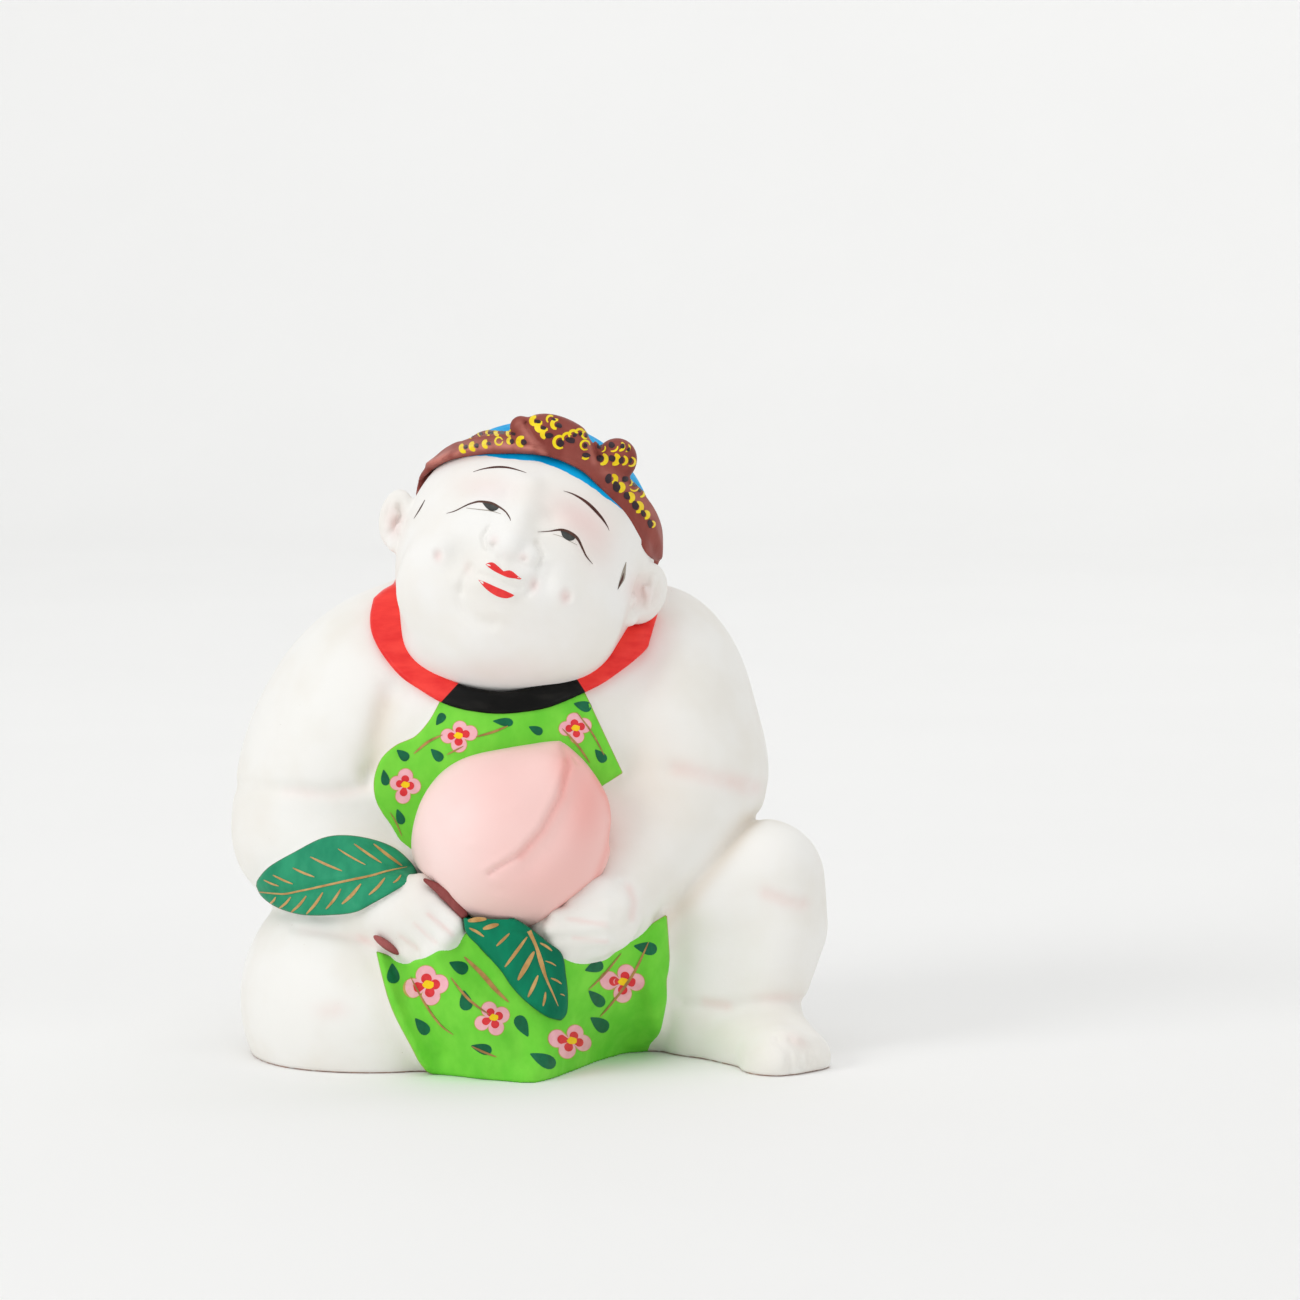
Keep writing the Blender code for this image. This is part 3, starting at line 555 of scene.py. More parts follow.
def surface(value, lo, cell):
    inner = value < 0
    size = [n - 1 for n in value.shape]
    mixed = np.zeros(size, np.int8)
    corners = [(i, j, k) for i in (0, 1) for j in (0, 1) for k in (0, 1)]

    def part(array, off):
        return array[off[0]:off[0] + size[0], off[1]:off[1] + size[1], off[2]:off[2] + size[2]]

    for c in corners:
        mixed += part(inner, c)
    used = (mixed > 0) & (mixed < 8)
    where = np.argwhere(used)
    index = np.full(size, -1, np.int32)
    index[used] = np.arange(len(where))
    total = np.zeros((len(where), 3))
    hits = np.zeros(len(where))
    w0, w1, w2 = where.T
    for c in corners:
        for axis in range(3):
            if c[axis]:
                continue
            d = list(c)
            d[axis] = 1
            va = value[w0 + c[0], w1 + c[1], w2 + c[2]].astype(float)
            vb = value[w0 + d[0], w1 + d[1], w2 + d[2]].astype(float)
            cut = (va < 0) != (vb < 0)
            t = np.where(cut, va / np.where(cut, va - vb, 1), 0)
            for q in range(3):
                total[:, q] += np.where(cut, c[q] + (t if q == axis else 0), 0)
            hits += cut
    verts = np.array(lo) + cell * (where + total / np.maximum(hits, 1)[:, None])
    faces = []
    for axis in range(3):
        u, v = (axis + 1) % 3, (axis + 2) % 3
        a = [slice(1, -1)] * 3
        a[axis] = slice(0, -1)
        b = list(a)
        b[axis] = slice(1, None)
        cut = inner[tuple(a)] != inner[tuple(b)]
        spots = np.argwhere(cut)
        outward = inner[tuple(a)][cut]
        for q in (u, v):
            spots[:, q] += 1
        quad = []
        for du, dv in ((-1, -1), (0, -1), (0, 0), (-1, 0)):
            s = spots.copy()
            s[:, u] += du
            s[:, v] += dv
            quad.append(index[s[:, 0], s[:, 1], s[:, 2]])
        quad = np.stack(quad, 1)
        faces.append(np.where(outward[:, None], quad, quad[:, ::-1]))
    return verts, np.concatenate(faces)


def slope(field, v, e=0.1):
    g = np.empty_like(v)
    for axis in range(3):
        step = np.zeros(3)
        step[axis] = e
        hi, lo = v + step, v - step
        g[:, axis] = (field((hi[:, 0], hi[:, 1], hi[:, 2])) - field((lo[:, 0], lo[:, 1], lo[:, 2]))) / (2 * e)
    return g


def settle(field, v, cell, rounds=2):
    for _ in range(rounds):
        f = field((v[:, 0], v[:, 1], v[:, 2]))
        g = slope(field, v)
        move = -f[:, None] * g / np.maximum((g * g).sum(1), 0.3)[:, None]
        size = np.linalg.norm(move, axis=1, keepdims=True)
        v = v + move * np.minimum(1, 0.45 * cell / np.maximum(size, 1e-9))
    return v


def largest_shell(verts, faces):
    group = np.arange(len(verts))
    while True:
        low = group[faces].min(1)
        new = group.copy()
        for k in range(4):
            np.minimum.at(new, faces[:, k], low)
        new = new[new]
        if (new == group).all():
            break
        group = new
    names, counts = np.unique(group, return_counts=True)
    keep = group == names[counts.argmax()]
    number = np.cumsum(keep) - 1
    return verts[keep], number[faces[keep[faces[:, 0]]]]


def add_mesh(name, verts, faces, material, attributes=None, smooth_shade=True):
    mesh = bpy.data.meshes.new(name)
    faces = np.asarray(faces, np.int32)
    verts = np.asarray(verts, np.float64) * MM
    mesh.vertices.add(len(verts))
    mesh.vertices.foreach_set("co", verts.ravel())
    width = faces.shape[1]
    mesh.loops.add(faces.size)
    mesh.loops.foreach_set("vertex_index", faces.ravel())
    mesh.polygons.add(len(faces))
    mesh.polygons.foreach_set("loop_start", np.arange(0, faces.size, width, dtype=np.int32))
    mesh.update(calc_edges=True)
    mesh.validate()
    for key, data in (attributes or {}).items():
        layer = mesh.attributes.new(key, "FLOAT", "POINT")
        layer.data.foreach_set("value", np.asarray(data, np.float32))
    obj = bpy.data.objects.new(name, mesh)
    bpy.context.scene.collection.objects.link(obj)
    obj.data.materials.append(material)
    if smooth_shade:
        mesh.shade_smooth()
    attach(obj, "root")
    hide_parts("clay_doll")
    return obj


def sculpt(name, field, lo, hi, cell, material, paint=None, one_shell=False):
    cell = cell * FINE
    counts = [int(math.ceil((hi[i] - lo[i]) / cell)) + 1 for i in range(3)]
    verts, faces = surface(sample(field, lo, counts, cell), lo, cell)
    if one_shell:
        verts, faces = largest_shell(verts, faces)
    verts = settle(field, verts, cell)
    attributes = {}
    if paint:
        x, y, z = verts.T
        a, b = seen((x, y, z))
        attributes = paint(x, y, z, a, b)
    return add_mesh(name, verts, faces, material, attributes)


# ------------------------------------------------------------------ paint on the surface
def land(uv, fields, start=-75.0, off=0.07, reach=60):
    """Lay elevation points (u, v) on the nearest of the painted surfaces, and lift them off along its normal."""
    uv = np.asarray(uv, float)
    q = np.array([front(u, v) for u, v in uv])
    y = np.full(len(q), start)

    def point(y):
        k = (y - EYE[1]) / -EYE[1]
        return np.stack([EYE[0] + (q[:, 0] - EYE[0]) * k, y, EYE[2] + (q[:, 1] - EYE[2]) * k], 1)

    def depth(v):
        return fields((v[:, 0], v[:, 1], v[:, 2]))

    best, near = y.copy(), np.full(len(q), 1e9)
    for _ in range(reach):
        d = depth(point(y))
        closer = np.abs(d) < near
        best, near = np.where(closer, y, best), np.where(closer, np.abs(d), near)
        y = y + np.clip(d, -2, 12) * 0.85
    v = point(best)
    for _ in range(6):  # a sight line that only grazes the surface ends on its nearest point
        g = slope(fields, v, 0.15)
        size = np.maximum(np.linalg.norm(g, axis=1, keepdims=True), 1e-9)
        v = v - np.clip(depth(v), -3, 3)[:, None] * g / np.maximum(size, 0.6) ** 2
    g = slope(fields, v, 0.15)
    g /= np.maximum(np.linalg.norm(g, axis=1, keepdims=True), 1e-9)
    return v + g * off


def curve_points(points, gap=1.2):
    """A smooth run through elevation points, a point about every gap units. Each point may carry a width."""
    pts = [np.array(p, float) for p in points]
    out = []
    for i in range(len(pts) - 1):
        p0 = pts[max(i - 1, 0)]
        p1, p2 = pts[i], pts[i + 1]
        p3 = pts[min(i + 2, len(pts) - 1)]
        n = max(2, int(math.ceil(np.linalg.norm((p2 - p1)[:2]) / gap)))
        for j in range(n):
            t = j / n
            out.append((2 * t ** 3 - 3 * t * t + 1) * p1 + (t ** 3 - 2 * t * t + t) * (p2 - p0) / 2
                       + (3 * t * t - 2 * t ** 3) * p2 + (t ** 3 - t * t) * (p3 - p1) / 2)
    out.append(pts[-1])
    return np.array(out)


class Paint:
    """Gathers strokes and spots of one colour, then lays them as one thin film."""

    def __init__(self):
        self.uv, self.faces = [], []

    def add(self, pts, faces):
        base = len(self.uv)
        self.uv.extend([tuple(p) for p in pts])
        self.faces.extend([tuple(base + i for i in f) for f in faces])

    def stroke(self, points, width=None, gap=1.2, ends=0.25):
        """A brush stroke: points (u, v) with one width that swells in the middle, or (u, v, width)."""
        pts = curve_points(points, gap)
        if width is not None:
            t = np.linspace(0, 1, len(pts))
            w = width * (ends + (1 - ends) * np.sin(math.pi * np.clip(t, 0.02, 0.98)) ** 0.7)
        else:
            w = pts[:, 2]
        c = pts[:, :2]
        d = np.gradient(c, axis=0)
        d /= np.maximum(np.linalg.norm(d, axis=1, keepdims=True), 1e-9)
        n = np.stack([-d[:, 1], d[:, 0]], 1)
        across = (-0.5, 0.0, 0.5)
        grid = [c + n * (w[:, None] * s) for s in across]
        m = len(c)
        rows = np.concatenate(grid)
        faces = []
        for s in range(len(across) - 1):
            for i in range(m - 1):
                faces.append((s * m + i, s * m + i + 1, (s + 1) * m + i + 1, (s + 1) * m + i))
        self.add(rows, faces)

    def spot(self, ring, rings=3):
        """A filled shape from its rim points, which all see its middle."""
        ring = np.asarray(ring, float)
        mid = ring.mean(0)
        n = len(ring)
        rows = [mid[None]] + [mid + (ring - mid) * (k / rings) for k in range(1, rings + 1)]
        faces = [(0, 1 + i, 1 + (i + 1) % n, 1 + (i + 1) % n) for i in range(n)]
        for k in range(rings - 1):
            s, e = 1 + k * n, 1 + (k + 1) * n
            faces += [(s + i, e + i, e + (i + 1) % n, s + (i + 1) % n) for i in range(n)]
        self.add(np.concatenate(rows), faces)

    def shape(self, *rim, per=5, rings=3):
        """A filled shape with a smooth rim through a few points; a point with a third value is a corner."""
        q = [np.array(r[:2], float) for r in rim]
        hard = [len(r) > 2 for r in rim]
        ring = []
        for i in range(len(q)):
            p0, p1, p2, p3 = q[i - 1], q[i], q[(i + 1) % len(q)], q[(i + 2) % len(q)]
            m1 = (p2 - p1) if hard[i] else (p2 - p0) / 2
            m2 = (p2 - p1) if hard[(i + 1) % len(q)] else (p3 - p1) / 2
            for j in range(per):
                t = j / per
                ring.append((2 * t ** 3 - 3 * t * t + 1) * p1 + (t ** 3 - 2 * t * t + t) * m1
                            + (3 * t * t - 2 * t ** 3) * p2 + (t ** 3 - t * t) * m2)
        self.spot(ring, rings)

    def lay(self, name, fields, material, off=0.07):
        v = land(self.uv, fields, off=off)
        faces = np.array(self.faces, np.int64)
        p = [v[faces[:, i]] for i in range(3)]
        n = np.cross(p[1] - p[0], p[2] - p[0])
        away = n[:, 1] > 0
        faces[away] = faces[away][:, ::-1]
        flat = faces[:, 2] == faces[:, 3]
        head = faces[:, 0] == faces[:, 1]
        obj = None
        tri = [tuple(dict.fromkeys(f)) for f in faces[flat | head].tolist()]
        quads = faces[~(flat | head)].tolist()
        mesh = bpy.data.meshes.new(name)
        mesh.from_pydata((v * MM).tolist(), [], [t for t in tri if len(t) > 2] + quads)
        mesh.validate()
        mesh.shade_smooth()
        obj = bpy.data.objects.new(name, mesh)
        bpy.context.scene.collection.objects.link(obj)
        mesh.materials.append(material)
        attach(obj, "root")
        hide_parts("clay_doll")
        return obj


# ------------------------------------------------------------------ materials
def rgb(r, g, b):
    """sRGB 0-255 to a linear colour."""
    return tuple(((c / 255) / 12.92 if c / 255 <= 0.04045 else ((c / 255 + 0.055) / 1.055) ** 2.4) for c in (r, g, b)) + (1.0,)


class Mat:
    def __init__(self, name, roughness=0.5, sheen=0.0, coat=0.0, specular=0.5):
        self.m = bpy.data.materials.new(name)
        self.m.use_nodes = True
        self.t = self.m.node_tree
        self.s = self.t.nodes["Principled BSDF"]
        self.s.inputs["Roughness"].default_value = roughness
        self.s.inputs["Sheen Weight"].default_value = sheen
        self.s.inputs["Coat Weight"].default_value = coat
        self.s.inputs["Specular IOR Level"].default_value = specular
        self.colour = None
        self.coords = self.t.nodes.new("ShaderNodeTexCoord")

    def link(self, a, b):
        self.t.links.new(a, b)

    def noise(self, scale, detail=4.0, rough=0.5, stretch=None, distortion=0.0):
        n = self.t.nodes.new("ShaderNodeTexNoise")
        n.inputs["Scale"].default_value = scale
        n.inputs["Detail"].default_value = detail
        n.inputs["Roughness"].default_value = rough
        n.inputs["Distortion"].default_value = distortion
        if stretch:
            mp = self.t.nodes.new("ShaderNodeMapping")
            mp.inputs["Scale"].default_value = stretch[0]
            mp.inputs["Rotation"].default_value = stretch[1]
            self.link(self.coords.outputs["Object"], mp.inputs["Vector"])
            self.link(mp.outputs["Vector"], n.inputs["Vector"])
        else:
            self.link(self.coords.outputs["Object"], n.inputs["Vector"])
        return n.outputs["Fac"]

    def spots(self, scale, randomness=1.0):
        n = self.t.nodes.new("ShaderNodeTexVoronoi")
        n.inputs["Scale"].default_value = scale
        n.inputs["Randomness"].default_value = randomness
        self.link(self.coords.outputs["Object"], n.inputs["Vector"])
        return n.outputs["Distance"]

    def attribute(self, name):
        n = self.t.nodes.new("ShaderNodeAttribute")
        n.attribute_name = name
        return n.outputs["Fac"]

    def ramp(self, value, *stops):
        """Map a value to 0-1 through (position, level) stops."""
        n = self.t.nodes.new("ShaderNodeValToRGB")
        r = n.color_ramp
        while len(r.elements) < len(stops):
            r.elements.new(0.5)
        for e, (pos, level) in zip(r.elements, stops):
            e.position = pos
            e.color = (level, level, level, 1)
        self.link(value, n.inputs["Fac"])
        return n.outputs["Color"]

    def range(self, value, lo, hi, out0=0.0, out1=1.0, kind="SMOOTHSTEP"):
        n = self.t.nodes.new("ShaderNodeMapRange")
        n.interpolation_type = kind
        n.inputs["From Min"].default_value = lo
        n.inputs["From Max"].default_value = hi
        n.inputs["To Min"].default_value = out0
        n.inputs["To Max"].default_value = out1
        self.link(value, n.inputs["Value"])
        return n.outputs["Result"]

    def math(self, op, a, b):
        n = self.t.nodes.new("ShaderNodeMath")
        n.operation = op
        for i, q in enumerate((a, b)):
            if isinstance(q, (int, float)):
                n.inputs[i].default_value = q
            else:
                self.link(q, n.inputs[i])
        return n.outputs[0]

    def mix(self, fac, a, b, blend="MIX"):
        n = self.t.nodes.new("ShaderNodeMix")
        n.data_type = "RGBA"
        n.blend_type = blend
        for socket, q in ((n.inputs[0], fac), (n.inputs[6], a), (n.inputs[7], b)):
            if isinstance(q, (int, float, tuple)):
                socket.default_value = q
            else:
                self.link(q, socket)
        return n.outputs[2]

    def base(self, colour):
        self.link(colour, self.s.inputs["Base Color"])

    def rough(self, value):
        self.link(value, self.s.inputs["Roughness"])

    def bump(self, height, distance_mm=0.1, strength=1.0, after=None):
        n = self.t.nodes.new("ShaderNodeBump")
        n.inputs["Distance"].default_value = distance_mm * MM
        n.inputs["Strength"].default_value = strength
        self.link(height, n.inputs["Height"])
        if after is not None:
            self.link(after, n.inputs["Normal"])
        self.link(n.outputs["Normal"], self.s.inputs["Normal"])
        return n.outputs["Normal"]


def skin_material():
    m = Mat("gofun_white", roughness=0.52, specular=0.2)
    soft = m.noise(38.0, 3.0, 0.5)
    colour = m.mix(m.range(soft, 0.35, 0.7), rgb(243, 242, 238), rgb(238, 235, 228))
    colour = m.mix(m.math("MULTIPLY", m.attribute("blush"), m.range(m.noise(160.0, 3.0), 0.25, 0.75, 0.6, 1.0)), colour, rgb(233, 176, 170))
    # painted warm shade in the armpit, the arm-thigh groove and over the shaded right side
    colour = m.mix(m.attribute("warm"), colour, rgb(226, 212, 194))
    speck = m.math("MULTIPLY", m.range(m.spots(330.0), 0.04, 0.09, 1.0, 0.0), m.range(m.noise(60.0, 2.0), 0.6, 0.68))
    colour = m.mix(m.math("MULTIPLY", speck, 0.45), colour, rgb(196, 186, 172))
    line = m.math("MULTIPLY", m.range(m.attribute("height"), 0.15, 0.6, 0.9, 0.0), m.range(m.noise(420.0, 3.0), 0.3, 0.5))
    colour = m.mix(line, colour, rgb(176, 118, 92))
    m.base(colour)
    m.rough(m.range(m.noise(260.0, 3.0), 0.3, 0.7, 0.46, 0.6))
    n = m.bump(m.noise(30.0, 3.0, 0.5), 0.55, 0.5)
    n = m.bump(m.noise(95.0, 5.0, 0.55), 0.24, 0.65, after=n)
    m.bump(m.noise(900.0, 3.0, 0.6), 0.03, 0.5, after=n)
    return m.m


def face_material():
    """The white face, with the blue of the cap painted above its edge."""
    m = Mat("gofun_face", roughness=0.5, specular=0.06)
    soft = m.noise(40.0, 3.0, 0.5)
    colour = m.mix(m.range(soft, 0.35, 0.7), rgb(244, 243, 240), rgb(240, 237, 231))
    # pink cheek, dimple, nose, mouth and ear paint, plus a painted warm bounce light under the chin
    colour = m.mix(m.attribute("blush"), colour, rgb(236, 180, 178))
    colour = m.mix(m.attribute("shadow"), colour, rgb(196, 192, 180))
    speck = m.math("MULTIPLY", m.range(m.spots(420.0), 0.04, 0.08, 1.0, 0.0), m.range(m.noise(60.0, 2.0), 0.62, 0.7))
    colour = m.mix(m.math("MULTIPLY", speck, 0.35), colour, rgb(200, 192, 180))
    streak = m.noise(150.0, 4.0, 0.55, stretch=((1.0, 1.0, 0.35), (0.3, 0.5, 0.2)))
    blue = m.mix(m.range(streak, 0.3, 0.7), rgb(16, 178, 238), rgb(0, 158, 222))
    edge = m.math("ADD", m.attribute("cap"), m.range(m.noise(300.0, 2.0), 0.3, 0.7, -0.12, 0.12))
    colour = m.mix(m.range(edge, -0.07, 0.07, 1.0, 0.0), colour, blue)
    m.base(colour)
    m.rough(m.range(m.noise(260.0, 3.0), 0.3, 0.7, 0.42, 0.56))
    n = m.bump(m.noise(110.0, 4.0, 0.5), 0.1, 0.5)
    m.bump(m.noise(1000.0, 3.0, 0.6), 0.02, 0.5, after=n)
    return m.m


def cloth_paint(name, light, dark, edge=None, edge_colour=None, roughness=(0.4, 0.56), stroke=((1.0, 1.0, 0.35), (0.3, 0.5, 0.2)), bump=0.14, strong=1.0, wear_and_highlight=None):
    """Flat colour brushed on clay: long soft brush streaks, small pits, a thin line along the edge."""
    m = Mat(name, roughness=0.5, specular=0.08)
    streak = m.noise(150.0, 4.0, 0.55, stretch=stroke)
    patch = m.noise(45.0, 3.0, 0.5)
    fac = m.math("ADD", m.math("MULTIPLY", m.range(streak, 0.3, 0.7), 0.55), m.math("MULTIPLY", m.range(patch, 0.35, 0.68), 0.45))
    colour = m.mix(m.math("MULTIPLY", fac, strong), light, dark)
    if edge:
        near = m.range(m.attribute(edge), -0.30, -0.08, 0.0, 1.0)
        rubbed = m.range(m.noise(190.0, 3.0), 0.32, 0.55, 0.25, 0.85)
        colour = m.mix(m.math("MULTIPLY", near, rubbed), colour, edge_colour)
    if wear_and_highlight:
        # lighter along the fold ridges: painted highlight, with some wear
        colour = m.mix(m.math("MULTIPLY", m.attribute("fold"), m.range(m.noise(210.0, 3.0), 0.3, 0.6, 0.25, 1.0)), colour, wear_and_highlight)
    m.base(colour)
    m.rough(m.range(streak, 0.3, 0.7, roughness[0], roughness[1]))
    n = m.bump(streak, bump, 0.6)
    m.bump(m.noise(700.0, 3.0, 0.6), 0.04, 0.5, after=n)
    return m


def film(name, colour, other, roughness=0.42, scale=260.0):
    """The colour of a brush stroke or a dot."""
    m = Mat(name, roughness=roughness, specular=0.25)
    n = m.noise(scale, 3.0, 0.6)
    m.base(m.mix(m.range(n, 0.3, 0.7), colour, other))
    m.bump(n, 0.05, 0.5)
    return m.m


GOLD = rgb(200, 154, 84)
skin = skin_material()
face = face_material()
GREEN_LIGHT, GREEN_DARK = rgb(130, 222, 72), rgb(92, 198, 50)
APRON_EDGE = rgb(176, 160, 74)
apron_m = cloth_paint("apron_green", GREEN_LIGHT, GREEN_DARK, "rim", APRON_EDGE, stroke=((1.0, 1.0, 0.7), (0.3, 0.5, 0.2)), bump=0.18, strong=0.75)
# the lighter brown on the fold ridges is painted highlight, with some wear
band_m = cloth_paint("band_brown", rgb(156, 84, 75), rgb(132, 62, 55), roughness=(0.38, 0.52), wear_and_highlight=rgb(206, 132, 120))
leaf_m = cloth_paint("leaf_green", rgb(16, 136, 98), rgb(10, 104, 76), "rim", rgb(60, 96, 60), roughness=(0.38, 0.52))
leaf_1_m = cloth_paint("leaf_green_lit", rgb(52, 158, 116), rgb(30, 130, 95), "rim", rgb(70, 104, 66), roughness=(0.38, 0.52))
stem_m = cloth_paint("stem_brown", rgb(168, 96, 94), rgb(128, 60, 58))


def peach_material():
    m = Mat("peach_pink", roughness=0.5, specular=0.3)
    soft = m.noise(42.0, 3.0, 0.5)
    colour = m.mix(m.attribute("ripe"), rgb(253, 227, 223), rgb(243, 170, 162))
    colour = m.mix(m.math("MULTIPLY", m.range(soft, 0.35, 0.7), 0.25), colour, rgb(248, 198, 192))
    m.base(colour)
    m.rough(m.range(m.noise(300.0, 3.0), 0.3, 0.7, 0.44, 0.58))
    n = m.bump(m.noise(120.0, 5.0, 0.6), 0.16, 0.6)
    m.bump(m.noise(900.0, 3.0, 0.6), 0.03, 0.5, after=n)
    return m.m


def collar_material():
    m = Mat("collar_red_black", roughness=0.42, specular=0.14)
    streak = m.noise(150.0, 4.0, 0.55, stretch=((0.5, 1.0, 1.6), (0.2, 0.3, 0.4)))
    red = m.mix(m.range(streak, 0.3, 0.75), rgb(250, 70, 62), rgb(232, 46, 46))
    black = m.mix(m.range(streak, 0.45, 0.72), rgb(9, 9, 8), rgb(26, 25, 23))
    colour = m.mix(m.range(m.attribute("black"), -0.12, 0.12), red, black)
    m.base(colour)
    m.rough(m.range(m.noise(240.0, 3.0), 0.3, 0.7, 0.28, 0.5))
    n = m.bump(streak, 0.07, 0.6)
    m.bump(m.noise(700.0, 3.0, 0.6), 0.04, 0.5, after=n)
    return m.m


peach_m = peach_material()
collar_m = collar_material()


# ------------------------------------------------------------------ where the soft colour lies
def paint_skin(x, y, z, a, b):
    on = smooth((14 - y) / 10)
    # here only the doll's own pink paint on the joints, creases and toes
    blush = 0.28 * crease(a, b, 3.0, (678, 769), (712, 777), (752, 787)) + 0.24 * crease(a, b, 2.4, (766, 893), (784, 900), (802, 904))
    blush += 0.25 * crease(a, b, 1.8, (706, 1002), (727, 1006)) + 0.25 * mound(a, b, 797, 1041, 10, 6, 30) + 0.2 * mound(a, b, 780, 998, 24, 6)
    blush += 0.14 * crease(a, b, 2.0, (287, 792), (330, 795), (368, 790)) + 0.35 * crease(a, b, 1.3, (629, 888), (634, 902), (632, 918))
    blush += 0.34 * crease(a, b, 0.7, (428, 914), (452, 934)) + 0.28 * crease(a, b, 0.7, (415, 924), (436, 943)) + 0.28 * crease(a, b, 0.7, (400, 936), (417, 948))
    blush += 0.3 * crease(a, b, 0.8, (568, 919), (606, 925)) + 0.26 * crease(a, b, 0.8, (574, 938), (606, 942)) + 0.25 * crease(a, b, 1.3, (360, 938), (376, 944))
    blush += 0.2 * mound(a, b, 332, 1010, 16, 9) + 0.12 * crease(a, b, 1.6, (302, 931), (340, 936), (366, 940))
    # painted shade: warm darkening in the armpit and arm-thigh creases and over the body's shaded right side
    warm = 0.5 * crease(a, b, 3.0, (750, 822), (716, 866), (690, 900), (655, 930)) + 0.45 * crease(a, b, 3.4, (385, 706), (378, 735), (376, 765))
    warm += 0.25 * mound(a, b, 652, 790, 40, 70)
    return {"blush": np.clip(blush * on, 0, 1), "warm": np.clip(warm * on, 0, 1), "height": z}


def paint_head(x, y, z, a, b):
    on = smooth((-8 - y) / 8)
    ears = smooth((6 - y) / 6)
    blush = 0.17 * mound(a, b, 488, 487, 32, 14, 4) + 0.33 * mound(a, b, 574, 516, 28, 17, 32) + 0.2 * mound(a, b, 596, 538, 18, 28, -10)
    blush += 0.3 * mound(a, b, 438, 556, 4.5, 6) + 0.34 * mound(a, b, 565, 597, 5, 7) + 0.26 * mound(a, b, 534, 585, 5, 7)
    blush += 0.16 * mound(a, b, 494, 540, 5, 5) + 0.18 * mound(a, b, 523, 557, 5, 5) + 0.12 * mound(a, b, 467, 568, 4, 7)
    blush = blush * on + ears * (0.32 * mound(a, b, 640, 592, 12, 16, -25) + 0.3 * mound(a, b, 394, 522, 8, 14))
    # painted warm bounce light from the red collar, under the chin
    blush += 0.14 * mound(a, b, 492, 672, 60, 14) * on
    shadow = 0.16 * mound(a, b, 456, 556, 14, 13) + 0.12 * mound(a, b, 533, 528, 6, 20, -20)
    back = smooth((y + 4) / 16)
    lift = lift_of((x, y, z), at(534, 541, -6))
    cap = CAP_EDGE(a, b) * (1 - back) + (3.0 - lift) * back
    cap = np.where(head_base((x, y, z))[0] > 0.9, 6, cap)
    return {"blush": np.clip(blush, 0, 1), "shadow": np.clip(shadow * on, 0, 1), "cap": np.clip(cap, -6, 6)}


def paint_apron(x, y, z, a, b):
    return {"rim": np.maximum(BIB(a, b), -12)}


def paint_skirt(x, y, z, a, b):
    return {"rim": np.maximum(SKIRT(a, b), -12)}


def paint_band(x, y, z, a, b):
    # the fold ridges of the band and knot, painted lighter: painted highlight, with some wear
    fold = 0.9 * crease(a, b, 1.4, (430, 462), (466, 449), (498, 445), (530, 447)) + 0.6 * crease(a, b, 1.2, (520, 424), (532, 440), (543, 452))
    fold += 0.4 * crease(a, b, 1.0, (584, 430), (589, 446), (594, 462)) + 0.35 * crease(a, b, 1.6, (604, 470), (626, 486), (650, 512))
    return {"fold": np.clip(fold * smooth((2 - y) / 8), 0, 1)}


def paint_leaf_1(x, y, z, a, b):
    return {"rim": np.maximum(LEAF_1(a, b), -12)}


def paint_leaf_2(x, y, z, a, b):
    return {"rim": np.maximum(LEAF_2(a, b), -12)}


def paint_peach(x, y, z, a, b):
    left = front(425, 830)[0]
    ripe = 0.34 * smooth((a - left) / 26) + 0.5 * mound(a, b, 588, 800, 24, 60, 8) + 0.35 * mound(a, b, 566, 762, 14, 22)
    ripe += 0.3 * crease(a, b, 1.5, (566, 762), (562, 797), (544, 831), (521, 856))
    ripe += 0.4 * crease(a, b, 1.2, (596, 775), (609, 800), (613, 820), (607, 850), (595, 882), (562, 908), (541, 928))
    ripe += 0.2 * mound(a, b, 550, 885, 50, 34)
    return {"ripe": np.clip(ripe, 0, 1)}


def paint_collar(x, y, z, a, b):
    def side(p, q, sign):
        (x0, z0), (x1, z1) = front(*p), front(*q)
        l = math.hypot(x1 - x0, z1 - z0)
        return sign * ((x1 - x0) * (b - z0) - (z1 - z0) * (a - x0)) / l
    left = side((440.4, 702.7), (459.8, 681.6), -1)
    right = side((585.3, 691.8), (572, 671.4), 1)
    d = np.minimum(left, right)
    return {"black": np.where(y < 0, np.clip(d, -5, 5), -5)}


# ------------------------------------------------------------------ the sculpted pieces
sculpt("body_skin", field_of("skin"), (-97, -64, -1.5), (97, 68, 160), 1.15, skin, paint_skin, one_shell=True)
sculpt("head", field_of("head"), (-48, -58, 112), (47, 38, 200), 0.62, face, paint_head, one_shell=True)
sculpt("headband", field_of("band"), (-44, -50, 128), (48, 42, 204), 0.62, band_m.m, paint_band)
sculpt("collar", field_of("collar"), (-56, -46, 98), (48, 54, 165), 0.8, collar_m, paint_collar)
sculpt("bib", field_of("bib"), (-54, -50, 50), (34, 1, 114), 0.85, apron_m.m, paint_apron)
sculpt("apron", field_of("skirt"), (-52, -70, -1), (48, 14, 46), 0.9, apron_m.m, paint_skirt)
sculpt("peach", field_of("peach"), (-42, -70, 32), (30, 6, 100), 0.85, peach_m, paint_peach)
sculpt("leaf_1", field_of("leaf_1"), (-90, -62, 36), (-30, 4, 70), 0.6, leaf_1_m.m, paint_leaf_1)
sculpt("leaf_2", field_of("leaf_2"), (-25, -72, 3), (16, -30, 45), 0.55, leaf_m.m, paint_leaf_2)
sculpt("stem", field_of("stem"), (-53, -64, 24), (-14, -44, 58), 0.4, stem_m.m)

